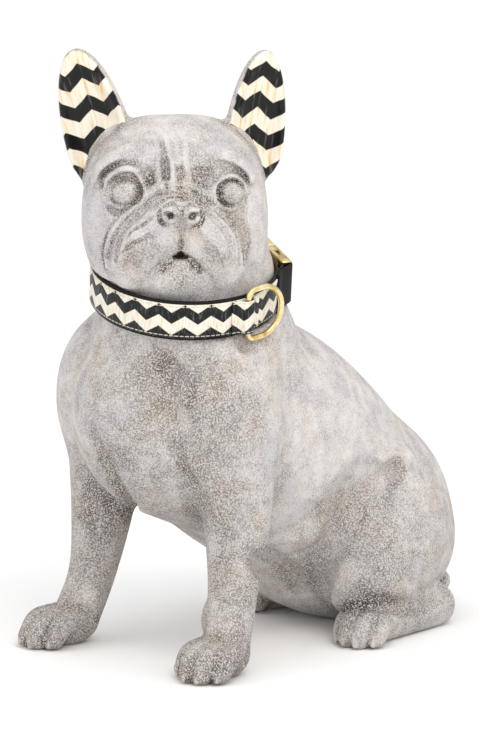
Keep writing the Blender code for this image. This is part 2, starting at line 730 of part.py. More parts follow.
def build_ring(material):
    """A ring of round wire: a straight bar under the keeper, and a bow towards the buckle."""
    half = (RING_INNER_WIDTH + RING_WIRE) / 2
    corner = 1.4 * RING_WIRE
    bow = RING_INNER_DEPTH + RING_WIRE - half
    path = [(0.0, height) for height in np.linspace(-1, 1, 4) * (half - corner)]
    for turn in np.radians((112.5, 135, 157.5))[::-1]:
        path.append((corner + corner * math.cos(turn), half - corner + corner * math.sin(turn)))
    for turn in np.radians(np.linspace(90, -90, 15)):
        path.append((bow + half * math.cos(turn), half * math.sin(turn)))
    for turn in np.radians((202.5, 225, 247.5))[::-1]:
        path.append((corner + corner * math.cos(turn), corner - half + corner * math.sin(turn)))
    path = np.array(path)
    along = np.roll(path, -1, axis=0) - np.roll(path, 1, axis=0)
    along = along / np.linalg.norm(along, axis=1)[:, None]
    origin, onward, outward = (np.append(vector, 0.0) for vector in loop_frame(RING_BEARING))
    centre = origin + outward * RING_OFFSET
    points = []
    for place, direction in zip(path, along):
        across = np.array((direction[1], -direction[0]))
        for turn in np.radians(np.arange(10) * 36.0):
            flat = place + across * math.cos(turn) * RING_WIRE / 2
            raised = outward * math.sin(turn) * RING_WIRE / 2
            points.append(centre + onward * flat[0] + (0, 0, flat[1]) + raised)
    return solid("d_ring", collar_place(points), ring_of_quads(len(path), 10, True), material)


def box(name, start, end, width, bottom, top, material, chamfer=0.0):
    """A block of the buckle: from start to end along the strap, and from bottom to top outwards."""
    work = bmesh.new()
    bmesh.ops.create_cube(work, size=1.0)
    bmesh.ops.scale(work, vec=(end - start, top - bottom, width), verts=work.verts[:])
    if chamfer:
        bmesh.ops.bevel(work, geom=work.edges[:], offset=chamfer, segments=1, affect="EDGES", profile=0.5)
    origin, onward, outward = loop_frame(BUCKLE_BEARING)
    for vert in work.verts:
        x, y, z = vert.co
        flat = origin + onward * (x + (start + end) / 2) + outward * (y + (bottom + top) / 2)
        vert.co = collar_place((*flat, z))
    work.normal_update()
    bmesh.ops.recalc_face_normals(work, faces=work.faces[:])
    mesh = bpy.data.meshes.new(name)
    work.to_mesh(mesh)
    work.free()
    return add_object(name, mesh, material)


def cut_strap_end(obj, side, material):
    """Opens the slot for the strap at a piece's outer end, and thins the bar beyond it."""
    inner = WEBBING_WIDTH + 2 * BUCKLE_GAP
    base, top = NECK_GAP, NECK_GAP + BUCKLE_THICKNESS
    rim = HALF_BUCKLE
    bar = rim - BAR_LENGTH
    slot = bar - SLOT_LENGTH
    spare = 0.002
    for near, far, low, high in (
        (slot, bar, base - spare, top + spare),
        (bar - spare, rim + spare, base - spare, BUCKLE_MIDDLE - BAR_LENGTH / 2),
        (bar - spare, rim + spare, BUCKLE_MIDDLE + BAR_LENGTH / 2, top + spare),
    ):
        start, end = sorted((side * near, side * far))
        take_away(obj, box("cutter", start, end, inner, low, high, material))


def build_buckle(material):
    """A snap buckle: a hollow socket, and a prong that slides into it."""
    base, top = NECK_GAP, NECK_GAP + BUCKLE_THICKNESS
    joint = HALF_BUCKLE - PRONG_LENGTH - BUCKLE_GAP
    depth = SOCKET_LENGTH - BAR_LENGTH - SLOT_LENGTH - 2 * BUCKLE_WALL
    inner = BUCKLE_WIDTH - 2 * BUCKLE_WALL
    floor, roof = base + BUCKLE_WALL, top - BUCKLE_WALL
    chamfer = 0.6 * BUCKLE_WALL
    socket = box("buckle_socket", -HALF_BUCKLE, joint, BUCKLE_WIDTH, base, top, material, chamfer)
    take_away(socket, box("cutter", joint - depth, joint + BUCKLE_WALL, inner, floor, roof, material))
    back = joint - depth + BUCKLE_WALL
    sill = 0.5 * BUCKLE_WALL
    window = box("cutter", back, back + 0.45 * depth, BUCKLE_WIDTH + BUCKLE_WALL, floor + sill,
                 roof - sill, material)
    take_away(socket, window)
    cut_strap_end(socket, -1, material)
    start = joint + BUCKLE_GAP
    prong = box("buckle_prong", start, HALF_BUCKLE, BUCKLE_WIDTH, base, top, material, chamfer)
    tongue = box("tongue", back + BUCKLE_GAP, start + BUCKLE_WALL, inner - 2 * BUCKLE_GAP,
                 floor + BUCKLE_GAP, roof - BUCKLE_GAP, material)
    union = prong.modifiers.new("join", "BOOLEAN")
    union.operation = "UNION"
    union.solver = "EXACT"
    union.object = tongue
    made = bpy.data.meshes.new_from_object(prong.evaluated_get(bpy.context.evaluated_depsgraph_get()))
    prong.modifiers.remove(union)
    prong.data = made
    bpy.data.objects.remove(tongue)
    cut_strap_end(prong, 1, material)
    return [socket, prong]


def principled(name, colour, roughness, metallic):
    """A plain material from an sRGB colour."""
    material = bpy.data.materials.new(name)
    material.use_nodes = True
    shader = material.node_tree.nodes["Principled BSDF"]
    channels = [int(colour[i:i + 2], 16) / 255 for i in (0, 2, 4)]
    linear = [c / 12.92 if c <= 0.04045 else ((c + 0.055) / 1.055) ** 2.4 for c in channels]
    shader.inputs["Base Color"].default_value = (*linear, 1.0)
    shader.inputs["Roughness"].default_value = roughness
    shader.inputs["Metallic"].default_value = metallic
    return material


def stand_at_origin(objects):
    """Moves everything together, so that the whole stands on the origin by the middle of its box."""
    corners = np.concatenate([mesh_points(obj.data) for obj in objects])
    middle = (corners.min(axis=0) + corners.max(axis=0)) / 2
    for obj in objects:
        obj.data.transform(Matrix.Translation((-middle[0], -middle[1], 0.0)))


def main():
    for obj in list(bpy.data.objects):
        bpy.data.objects.remove(obj, do_unlink=True)
    objects = [
        build_figure(principled("cast_composition", "c9c4bf", 0.9, 0.0)),
        build_webbing(principled("black_webbing", "141414", 0.8, 0.0)),
        build_ribbon(principled("printed_ribbon", "7f7a70", 0.55, 0.0)),
        build_keeper(principled("keeper_ribbon", "7f7a70", 0.55, 0.0)),
        build_ring(principled("gold_wire", "d9b65c", 0.2, 1.0)),
        *build_buckle(principled("gold_casting", "d9b65c", 0.25, 1.0)),
    ]
    stand_at_origin(objects)


main()
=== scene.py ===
import itertools
import math

import bmesh
import bpy
import numpy as np
from mathutils import Matrix


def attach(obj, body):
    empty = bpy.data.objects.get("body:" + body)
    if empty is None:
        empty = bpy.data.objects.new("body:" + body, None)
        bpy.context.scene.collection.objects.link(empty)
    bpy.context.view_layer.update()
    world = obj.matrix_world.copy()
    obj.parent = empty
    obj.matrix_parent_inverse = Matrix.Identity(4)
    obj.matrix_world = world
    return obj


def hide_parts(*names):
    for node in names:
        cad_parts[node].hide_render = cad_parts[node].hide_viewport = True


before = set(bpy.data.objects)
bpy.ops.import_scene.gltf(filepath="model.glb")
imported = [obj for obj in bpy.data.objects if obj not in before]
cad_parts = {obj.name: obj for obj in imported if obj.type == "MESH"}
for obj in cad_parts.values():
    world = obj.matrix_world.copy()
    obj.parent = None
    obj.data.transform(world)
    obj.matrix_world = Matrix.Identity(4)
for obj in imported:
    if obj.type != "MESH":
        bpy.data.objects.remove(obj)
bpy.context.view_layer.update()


# The statue
# One hollow casting of pale cement and resin, made in a mould from a carved master: a French
# bulldog that sits, with its head turned to its left. It was scrubbed and toned by hand, so it
# is white on the high places and a speckled brown grey in the folds; its colour here also carries
# painted shade in the folds and hollows and a painted highlight on the high places. The insides of the
# ears are painted with glossy enamel.

# All sizes of the figure are in millimetres, in its own frame: x to its left, y to its back
FIGURE_MIDDLE = np.array((2.04, 139.78, 0.0))
BODY_GRID = 3.3
FIGURE_LOW = np.array((-130.0, -52.0, -12.0))
FIGURE_HIGH = np.array((130.0, 345.0, 460.0))
HEAD_CENTRE = np.array((17.0, 30.0, 338.0))
HEAD_YAW = 47.7
HEAD_REACH = 165.0
SIDE_CENTRE = np.array((0.0, 116.5, 206.0))
SIDE_YAW = 43.7
SIDE_PITCH = 9.0


def facing_axes(yaw, pitch):
    """Rows: left, up and forward, for something turned to the dog's left by yaw and up by pitch."""
    yaw, pitch = math.radians(yaw), math.radians(pitch)
    left = np.array((math.cos(yaw), math.sin(yaw), 0.0))
    level = np.array((math.sin(yaw), -math.cos(yaw), 0.0))
    ahead = level * math.cos(pitch) + np.array((0.0, 0.0, math.sin(pitch)))
    return np.array((left, np.cross(ahead, left), ahead))


def unit_vector(v):
    return np.asarray(v, float) / np.linalg.norm(v)


def turned(degrees, axis):
    return np.array(Matrix.Rotation(math.radians(degrees), 3, axis))


def ball(centre, radii, softness, turn=None):
    """An ellipsoid mass. The softness is the width of the fillet where it meets the rest."""
    return {"centre": centre, "radii": radii, "turn": turn, "softness": softness}


def rounded_path(path, steps=8):
    """A smooth line through a path's points, so that it has no corners."""
    path = np.asarray(path, float)
    ends = np.vstack((2 * path[0] - path[1], path, 2 * path[-1] - path[-2]))
    smooth = []
    for i in range(len(path) - 1):
        a, b, c, d = ends[i:i + 4]
        for t in np.arange(steps) / steps:
            smooth.append(0.5 * (2 * b + (c - a) * t + (2 * a - 5 * b + 4 * c - d) * t**2
                                 + (3 * b - a - 3 * c + d) * t**3))
    return np.array(smooth + [path[-1]])


def limb(*stations, softness):
    """A round mass along a smooth line. Each station is a place and the radius there."""
    return {"spine": rounded_path(stations) if len(stations) > 2 else np.array(stations, float),
            "softness": softness}


def trunk_masses():
    """Chest, belly and rump: a heavy body that slopes from the withers to the ground."""
    return [
        limb((0, 60, 181, 83), (0, 120, 160, 87), (0, 170, 130, 84), (0, 216, 88, 82), softness=0),
        limb((0, 126, 124, 60), (0, 188, 80, 61), softness=20),
        ball((0, 236, 78), (84, 76, 78), 20),
        ball((0, 250, 56), (78, 66, 58), 16),
        ball((0, 22, 188), (52, 42, 56), 30),
        ball((2, 70, 238), (66, 60, 48), 28),
        limb((8, 58, 244, 66), (8, 50, 277, 66.5), (2, 47, 304, 60), softness=22),
        limb((-6, 294, 38, 16), (14, 304, 26, 12), (38, 303, 20, 9), softness=6),
    ]


def foreleg_masses(side):
    return [
        ball((side * 61, 38, 196), (35, 42, 58), 12, turned(-8 * side, "Y")),
        limb((side * 65, 42, 172, 32), (side * 70, 40, 104, 24), (side * 73, 32, 54, 18),
             (side * 78, 20, 20, 17.5), softness=14),
        ball((side * 59.5, 21, 38), (4.4, 4.6, 9), 9),
    ]


def hindleg_masses(side, tuck):
    """The folded thigh, and the long foot flat beside it. The tuck brings the leg in and back."""
    return [
        ball((side * (60 - tuck), 211, 72), (43, 59, 62), 10, turned(-14, "X")),
        ball((side * (71 - tuck), 184 + tuck, 48), (29, 36, 38), 14),
        limb((side * (78 - tuck * 0.5), 249, 15.5, 17.5), (side * (84 - tuck), 190 + tuck, 15.5, 17),
             softness=7),
    ]


def paw_masses(centre, heading, length, width):
    """A paw of four toes, each with its claw. The heading is in degrees to the dog's left."""
    heading = math.radians(heading)
    ahead = np.array((math.sin(heading), -math.cos(heading), 0.0))
    across = np.array((math.cos(heading), math.sin(heading), 0.0))
    centre = np.asarray(centre, float)
    masses = [ball(centre - ahead * length * 0.12 + (0, 0, 13), (width * 0.42, length * 0.42, 15), 5,
                   turned(math.degrees(heading), "Z"))]
    for place in (-1.5, -0.5, 0.5, 1.5):
        reach, radius = (0.30, 8.2) if abs(place) > 1.0 else (0.44, 9.4)
        root = centre + across * place * width * 0.20 - ahead * length * 0.14 + (0, 0, 20)
        bend = centre + across * place * width * 0.245 + ahead * length * (reach - 0.16) + (0, 0, 17)
        tip = centre + across * place * width * 0.25 + ahead * length * reach + (0, 0, 8)
        masses.append(limb((*root, radius), (*bend, radius), (*tip, radius - 1.2), softness=1.0))
        claw = tip + ahead * (radius - 3.6)
        masses.append(limb((*claw, 2.8), (*(claw + ahead * 1.4 - (0, 0, 4)), 2.4), softness=0.7))
    return masses


def body_masses():
    masses = trunk_masses()
    for side, tuck in ((-1, 30), (1, 0)):
        masses += foreleg_masses(side)
        masses += hindleg_masses(side, tuck)
        masses += paw_masses((side * 81, 5 + side, 0), 8 * side, 54, 45)
        masses += paw_masses((side * (86 - tuck), 168 + 1.2 * tuck, 0), 10 * side - 0.3 * tuck, 50, 42)
    return masses


def head_masses():
    """Skull, cheeks, brows and the short muzzle, as left, up and forward in the head's frame."""
    masses = [ball((0, 8, -8), (58, 57, 60), 0)]
    for side in (-1, 1):
        masses.append(ball((side * 24, 28, -12), (36, 33, 46), 12))
        masses.append(ball((side * 34, -11, 0), (34, 55, 44), 14))
        masses.append(ball((side * 33, 34, 27), (21, 13, 18), 12))
    masses.append(ball((0, -14, 24), (46, 34, 34), 14))
    masses.append(ball((0, -44, 16), (46, 18, 34), 12))
    for side in (-1, 1):
        masses.append(limb((0, 20, 46, 8.5), (side * 22, 12, 43, 9.5), (side * 38, -8, 34, 12),
                           softness=4))
        masses.append(limb((side * 10, -7, 51, 15), (side * 25, -23, 44, 20), (side * 32, -40, 35, 17.5),
                           softness=5))
    masses.append(ball((-2, -45, 40), (24, 17, 17), 5))
    masses.append(limb((-11, 9, 51, 5.5), (1, 11.5, 54, 6), (13, 8, 51, 5.5), softness=4))
    masses.append(ball((1.0, -0.4, 63), (12.8, 8.4, 9.6), 2.4))
    for side in (-1, 1):
        masses.append(ball((1.0 + side * 8.6, -0.6, 66), (5.2, 5.6, 6.0), 1.6))
    return masses


EYEBALLS = (
    ball((-36.9, 14.2, 43.0), (9.6, 9.2, 10.6), 0.5),
    ball((37.6, 13.0, 43.0), (9.0, 8.9, 10.6), 0.5),
)
SOCKETS = (
    ball((-36.4, 15.6, 50.0), (11.0, 10.6, 8.6), 0.8),
    ball((37.2, 14.4, 50.0), (10.5, 10.4, 8.6), 0.8),
)
NOSTRILS = (
    limb((-5.4, -0.8, 76, 2.4), (-7.4, 1.0, 61, 2.0), softness=0.8),
    limb((-7.0, 2.2, 71, 1.9), (-12.2, 1.4, 67, 1.3), softness=0.8),
    limb((8.2, -1.4, 76, 2.3), (9.2, 0.6, 61, 1.9), softness=0.8),
    limb((8.8, 1.6, 71, 1.7), (13.6, 0.8, 67, 1.2), softness=0.8),
)
MOUTH_GAP = (
    ball((1.2, -31.6, 52), (5.8, 1.6, 13), 1.0),
    ball((1.2, -29.6, 54), (2.6, 2.6, 13), 1.6),
)

EARS = (
    (-1, (-53, 42, -13), (-72, 113.5, -8), 26.0, 34.0),
    (1, (58, 42, -13), (66.5, 112, -8), 23.5, 29.0),
)
EAR_HALF_DEPTH = 12.0
EAR_OUTWARD = 0.32
EAR_RIM = 2.6
EAR_HOLLOW = 10.0


def ear_masses():
    """Pairs of a shell and the hollow in its front."""
    pairs = []
    for side, centre, tip, half_width, below in EARS:
        centre, tip = np.asarray(centre, float), np.asarray(tip, float)
        length = np.linalg.norm(tip - centre)
        along = (tip - centre) / length
        facing = np.array((side * EAR_OUTWARD, 0.0, 1.0))
        facing = unit_vector(facing - along * (along @ facing))
        turn = np.column_stack((np.cross(along, facing), along, facing))
        shell = ball(centre, (half_width, length, EAR_HALF_DEPTH), 7, turn)
        inner = (half_width - EAR_RIM, length - EAR_RIM, EAR_HALF_DEPTH)
        hollow = ball(centre + facing * EAR_HOLLOW, inner, 2, turn)
        shell["below"] = below
        hollow["below"] = below - EAR_RIM
        pairs.append((shell, hollow))
    return pairs


HEAD_AXES = facing_axes(HEAD_YAW, 0.0)
SIDE_AXES = facing_axes(SIDE_YAW, SIDE_PITCH)


def to_head(points):
    return (points - HEAD_CENTRE) @ HEAD_AXES.T


def distance(points, mass):
    """Signed distance to a mass, below zero inside it."""
    if "spine" in mass:
        nearest = np.full(len(points), 1e9)
        for start, end in zip(mass["spine"][:-1], mass["spine"][1:]):
            line = end[:3] - start[:3]
            local = points - start[:3]
            share = np.clip(local @ line / (line @ line), 0.0, 1.0)
            local -= share[:, None] * line
            away = np.sqrt(np.einsum("ij,ij->i", local, local)) - start[3] - share * (end[3] - start[3])
            nearest = np.minimum(nearest, away)
        return nearest
    local = points - np.asarray(mass["centre"], float)
    if mass["turn"] is not None:
        local = local @ mass["turn"]
    radii = np.tile(np.asarray(mass["radii"], float), (len(points), 1))
    if "below" in mass:
        radii[local[:, 1] < 0, 1] = mass["below"]
    local = local / radii
    reach = np.sqrt(np.einsum("ij,ij->i", local, local))
    local = local / radii
    slope = np.sqrt(np.einsum("ij,ij->i", local, local)) + 1e-9
    return reach * (reach - 1.0) / slope


def join(first, second, softness):
    """The union of two forms, with a fillet about as wide as the softness."""
    mix = np.clip(0.5 + 0.5 * (second - first) / softness, 0.0, 1.0)
    return second + (first - second) * mix - softness * mix * (1.0 - mix)


def cut(first, second, softness):
    """What is left of the first form when the second is taken out of it."""
    return -join(-first, second, softness)


def blended(points, masses):
    """All the masses joined in turn, each worked out only near to where it reaches."""
    form = distance(points, masses[0])
    for mass in masses[1:]:
        if "spine" in mass:
            middle = (mass["spine"][:, :3].min(0) + mass["spine"][:, :3].max(0)) / 2
            away = np.linalg.norm(mass["spine"][:, :3] - middle, axis=1) + mass["spine"][:, 3]
            extent = away.max()
        else:
            middle, extent = np.asarray(mass["centre"], float), max(mass["radii"])
        local = points - middle
        nearest = np.sqrt(np.einsum("ij,ij->i", local, local)) - extent
        near = 0.6 * nearest < form + mass["softness"]
        form[near] = join(form[near], distance(points[near], mass), mass["softness"])
    return form


BODY_MASSES = body_masses()
HEAD_MASSES = head_masses()
EAR_MASSES = ear_masses()


def head_form(head):
    form = blended(head, HEAD_MASSES)
    for shell, hollow in EAR_MASSES:
        ear = cut(distance(head, shell), distance(head, hollow), hollow["softness"])
        form = join(form, ear, shell["softness"])
    return form


def base_form(points):
    """The whole figure before it is carved."""
    form = blended(points, BODY_MASSES)
    near = ((points - HEAD_CENTRE) ** 2).sum(1) < HEAD_REACH**2
    if near.any():
        form[near] = join(form[near], head_form(to_head(points[near])), NECK_FILLET)
    return form


# Each stroke is a line along the surface, then the half-width and the depth of its groove. A
# negative depth raises a ridge. The lines are given as left and up, drawn from the front.
FACE_STROKES = (
    # the brow over each eye: a raised roll, with a furrow under it
    (((-57, 16), (-54, 27), (-46, 36), (-35, 41.5), (-25, 43), (-18, 40)), 5.6, -2.6),
    (((-55, 19), (-50.5, 27.5), (-43, 33.5), (-33, 35.5), (-24, 35)), 3.2, 1.5),
    (((19, 42), (29, 40), (39, 35.5), (48, 27.5), (53, 17)), 5.6, -2.6),
    (((23, 35), (32, 33.6), (40, 30.5), (46.5, 24), (50, 16)), 3.0, 1.4),
    # the eyelids
    (((-52.5, 15.5), (-49, 24), (-42.5, 30), (-34.5, 31.5), (-28, 27.5), (-24.5, 21), (-22, 13)),
     2.7, -2.2),
    (((26.5, 8), (27.2, 17.5), (32, 23.5), (39, 25.5), (45.5, 21.5), (50, 13)), 2.5, -2.1),
    # the bags under the eyes
    (((-51, 8.5), (-44.5, 4.6), (-36.8, 3.4), (-29, 6)), 3.0, -1.4),
    (((-51, 3), (-44, -0.4), (-38, -0.6)), 2.4, 1.2),
    (((27, 5), (36, 1.6), (45, 4), (50, 8.5)), 3.0, -1.2),
    (((30, 0), (38, -2.6), (47, 0)), 2.2, 0.9),
    # the pockets between the brows and the nose
    (((-25, 33), (-21, 27), (-18.5, 21), (-17.6, 16)), 5.0, 2.0),
    (((19, 36), (18.5, 29), (16.5, 22), (13.5, 17)), 6.2, 2.1),
    # the rolls of the forehead, and the slits between them
    (((-9, 54), (-6.0, 41), (-4.2, 29), (-4.0, 17)), 3.0, -1.8),
    (((5.5, 50), (5.4, 38), (5.8, 28), (6.6, 17)), 3.4, -1.6),
    (((-16, 50), (-14.6, 38), (-13.8, 28), (-13.0, 18)), 3.4, -1.6),
    (((-10.4, 41), (-9.2, 35), (-8.8, 29), (-8.7, 22), (-8.2, 15)), 1.7, 4.4),
    (((1.6, 36), (0.9, 29), (0.6, 22), (0.6, 15.5)), 1.8, 4.4),
    # the rolls over the nose
    (((-26, 10.5), (-17, 16.5), (-8.2, 20), (1.8, 20.6), (10.5, 18), (18.5, 12.5), (28, 6)), 3.2, -1.4),
    (((-20, 9.2), (-10.4, 14.6), (1.6, 15.4), (11, 12.4), (20.4, 6.0)), 1.5, 1.3),
    (((-18, 6.2), (-8.6, 11.4), (1.6, 12.2), (11.4, 9.2), (19.2, 3.2)), 1.4, 1.1),
    (((14.4, 0.8), (19, 1.2), (23.5, -0.6)), 1.5, 1.4),
    # the folds that run from the nose round the muzzle to the jaw
    (((-27, 10.5), (-36, 3), (-44, -6), (-50.3, -18), (-53, -31), (-52.3, -44)), 3.4, 1.5),
    (((-22, 8), (-29, 0), (-36.5, -7), (-41.8, -15.4), (-45, -25), (-46.5, -35)), 2.8, 1.5),
    (((-17.5, 0.4), (-26.6, -7), (-34.8, -11.6), (-39.6, -18.6)), 1.5, 1.2),
    (((-6.4, -10.5), (-17.5, -13), (-27, -17.4), (-36, -21.6), (-42.6, -28)), 2.0, 1.4),
    (((-30, 5), (-38, -3), (-46, -15), (-49.6, -27), (-50, -40)), 2.6, -1.2),
    (((27.5, 5), (35.6, -2.4), (42, -12.6), (45.8, -23.6), (46, -36)), 3.2, 1.4),
    (((21, 1.4), (30, -6), (36.6, -16), (39.4, -27), (39, -37)), 2.6, 1.1),
    (((50, 8), (49, -6), (52, -20), (51, -34)), 3.6, 0.9),
    # the hollows of the upper lips
    (((-3, -17), (-12, -21), (-21, -28), (-28.4, -37), (-34, -46)), 7.0, 1.3),
    (((4.6, -16), (10, -24), (16.4, -33), (23.6, -42)), 6.0, 1.2),
    # the split lip and the line of the mouth
    (((1.0, -7), (1.2, -17), (1.0, -30)), 1.5, 2.2),
    (((1.0, -28.4), (-4.8, -32.6), (-10.4, -37.6), (-15, -44)), 1.8, 2.5),
    (((1.0, -28.4), (7.4, -32.8), (12.4, -38.2), (17, -44.5)), 1.8, 2.5),
    # the nose
    (((1.4, 6.5), (1.2, 0), (1.0, -8)), 1.1, 1.0),
    (((-11, 6.4), (-4, 8.4), (1.2, 7.2), (6.2, 8.0), (12.6, 5.6)), 1.8, -0.8),
    (((-12.6, 5.4), (-14.6, 0.6), (-12.2, -5.4), (-6.4, -8.8), (0.6, -9.8)), 1.7, 1.7),
    (((14.8, 4.4), (16.4, -0.8), (13.8, -6.4), (8.0, -9.2), (1.4, -9.8)), 1.7, 1.7),
)

# Drawn from the left front of the body, across and up from its middle
BODY_STROKES = (
    # the folds of the neck under the collar
    (((-67, 15), (-60, 2), (-49, -8)), 6.0, -2.2),
    (((-59, 14), (-54, 2), (-44, -6)), 6.0, 2.6),
    (((-8, 9), (-23, 3), (-36, -6)), 6.0, -2.0),
    (((0, 0), (-18, -5), (-30, -12)), 7.0, 1.8),
    # the breastbone, and the hollows beside it
    (((-32, -8), (-39, -16), (-41, -28), (-38, -38), (-33, -47)), 6.0, -2.4),
    (((-48, -14), (-52, -24), (-50, -38), (-44, -50)), 9.0, 2.6),
    (((-27, -14), (-24, -26), (-26, -38)), 8.0, 2.0),
    # the grooves between the chest and the forelegs
    (((-52, -54), (-43, -62), (-34, -73), (-25.6, -85), (-20.5, -97), (-18, -112)), 6.0, 4.6),
    (((-37, -60), (-27, -72), (-19, -84), (-14, -97), (-13, -112)), 5.0, -1.6),
    (((-110, -44), (-105, -58), (-99, -72), (-91, -88), (-80, -104)), 6.0, 3.2),
    # the fold of the flank, and the groove between it and the thigh
    (((119, -73), (104, -78), (92, -84), (76, -97), (58, -112), (34, -122)), 8.0, -2.0),
    (((121, -76), (106, -87), (92, -101), (83, -116), (71, -131), (62, -144), (59, -160), (60, -170)),
     8.0, 3.0),
    (((108, -92), (98, -104), (88, -118)), 11.0, 2.0),
    # the creases between the thigh and the foot
    (((84, -168), (90, -172), (108, -178), (126, -181), (145, -179), (160, -170)), 4.4, 1.5),
    # the loose skin of the belly
    (((14, -140), (28, -150), (38, -160), (44, -173)), 5.0, 1.2),
    # the tendons of the forelegs
    (((-116, -110), (-113, -128), (-110, -146)), 5.0, 1.4),
    (((-12, -120), (-18, -140), (-22, -160)), 5.0, 1.2),
)

# Where the strokes start from, in front of the form, and how they are brought down onto it
FACE_START = 95.0
BODY_START = 260.0
LAYING_ROUNDS = 90
LAYING_CARE = 0.7
# How softly the tools cut, and how much of a stroke fades out at each end
FACE_BLEND = 0.36
BODY_BLEND = 0.62
FACE_TAPER = 0.15
BODY_TAPER = 0.26
# The fillet of head and neck, the soft edge of the collar's seat, and its clearance
NECK_FILLET = 10.0
SEAT_EDGE = 2.4
SEAT_EASE = 0.9


def laid_stroke(stroke, form, centre, axes, start):
    """Lays a drawn line on a form from in front of it, and makes a round tool of it."""
    path, half_width, depth = stroke
    place = rounded_path(path, 4) @ axes[:2] + axes[2] * start + centre
    for _ in range(LAYING_ROUNDS):
        place = place - axes[2] * (LAYING_CARE * np.clip(form(place), -4.0, 30.0))[:, None]
    radius = (half_width**2 + depth**2) / (2 * abs(depth))
    lift = math.copysign(radius - abs(depth), depth)
    return place + axes[2] * lift, radius, depth


def path_distance(points, path):
    """Distance to a line of several stretches, and the share of its length at the nearest point."""
    lengths = np.sqrt((np.diff(path, axis=0) ** 2).sum(1))
    starts = np.concatenate(((0.0,), np.cumsum(lengths)))
    best = np.full(len(points), 1e9)
    share = np.zeros(len(points))
    for i, length in enumerate(lengths):
        line = path[i + 1] - path[i]
        local = points - path[i]
        t = np.clip(local @ line / length**2, 0.0, 1.0)
        local -= t[:, None] * line
        away = np.sqrt(np.einsum("ij,ij->i", local, local))
        nearer = away < best
        best = np.where(nearer, away, best)
        share = np.where(nearer, (starts[i] + t * length) / starts[-1], share)
    return best, share


def carve(form, points, tool, blend, taper):
    """Cuts a round tool's groove into a form, or adds its ridge, fading towards both ends."""
    path, radius, depth = tool
    reach = radius + 6.0
    near = np.all((points > path.min(0) - reach) & (points < path.max(0) + reach), axis=1)
    if near.any():
        away, share = path_distance(points[near], path)
        fade = np.clip(np.minimum(share, 1.0 - share) / taper, 0.0, 1.0)
        groove = away - radius + (1.0 - fade) * abs(depth)
        softness = blend * (abs(depth) + 0.4 * radius)
        form[near] = (cut if depth > 0 else join)(form[near], groove, softness)


FACE_TOOLS = [laid_stroke(stroke, head_form, np.zeros(3), np.eye(3), FACE_START)
              for stroke in FACE_STROKES]
BODY_TOOLS = [laid_stroke(stroke, base_form, SIDE_CENTRE, SIDE_AXES, BODY_START)
              for stroke in BODY_STROKES]
RING_HOLLOW = limb((81, 37, 243, 7), (83.5, 48, 243.5, 7), (85.5, 61, 246, 7), softness=5)

# The collar's loop, which the neck fits: its middle, and its half-sizes to the webbing's inside
COLLAR_CENTRE = np.array((8.2, 49.3, 278.8))
COLLAR_HALF_ACROSS = 66.5
COLLAR_HALF_DEEP = 73.0
COLLAR_YAW = 46.0
COLLAR_TIP = 14.5
COLLAR_ROLL = -1.5
SEAT_HALF_WIDTH = 16.0


def collar_axes():
    """Rows: to the dog's left, to the collar's front, and up through the loop."""
    level = facing_axes(COLLAR_YAW, 0.0)
    tip, roll = math.radians(COLLAR_TIP), math.radians(COLLAR_ROLL)
    front = level[2] * math.cos(tip) - level[1] * math.sin(tip)
    up = level[1] * math.cos(tip) + level[2] * math.sin(tip)
    left = level[0] * math.cos(roll) + up * math.sin(roll)
    return np.array((left, front, up * math.cos(roll) - level[0] * math.sin(roll)))


COLLAR_AXES = collar_axes()


def seat_form(points):
    """The ring of space that the collar takes: below zero inside it."""
    local = (points - COLLAR_CENTRE) @ COLLAR_AXES.T
    flat = local[:, :2] / (COLLAR_HALF_ACROSS, COLLAR_HALF_DEEP)
    reach = np.sqrt((flat**2).sum(1)) + 1e-9
    slope = np.sqrt(((flat / (COLLAR_HALF_ACROSS, COLLAR_HALF_DEEP)) ** 2).sum(1)) + 1e-9
    outside = reach * (reach - 1.0) / slope + SEAT_EASE
    return np.maximum(np.abs(local[:, 2]) - SEAT_HALF_WIDTH, -outside)


def figure_form(points):
    """The carved figure: below zero inside it."""
    form = base_form(points)
    for tool in BODY_TOOLS:
        carve(form, points, tool, BODY_BLEND, BODY_TAPER)
    form = cut(form, distance(points, RING_HOLLOW), RING_HOLLOW["softness"])
    near = ((points - HEAD_CENTRE) ** 2).sum(1) < HEAD_REACH**2
    if near.any():
        head, face = to_head(points[near]), form[near]
        for tool in FACE_TOOLS:
            carve(face, head, tool, FACE_BLEND, FACE_TAPER)
        for hollow in SOCKETS + NOSTRILS + MOUTH_GAP:
            face = cut(face, distance(head, hollow), hollow["softness"])
        for eye in EYEBALLS:
            face = join(face, distance(head, eye), eye["softness"])
        form[near] = face
    form = cut(form, seat_form(points), SEAT_EDGE)
    return np.maximum(form, -points[:, 2])


def fill_pinches(values, depth):
    """Fills each place where a form would touch itself along a line or at a point of the grid."""
    ends = (slice(None, -1), slice(1, None))
    for _ in range(6):
        for axes in ((0, 1), (0, 2), (1, 2), (0, 1, 2)):
            corners = []
            for ways in itertools.product((0, 1), repeat=len(axes)):
                window = [slice(None)] * 3
                for axis, way in zip(axes, ways):
                    window[axis] = ends[way]
                corners.append(values[tuple(window)])
            inside = np.array([corner < 0 for corner in corners])
            count = inside.sum(axis=0)
            last = len(corners) - 1
            pinched = np.zeros(count.shape, bool)
            for i in range(len(corners) // 2):
                pinched |= inside[i] & inside[last - i] & (count == 2)
                pinched |= ~(inside[i] | inside[last - i]) & (count == last - 1)
            for corner in corners:
                corner[pinched] = np.minimum(corner[pinched], -depth)


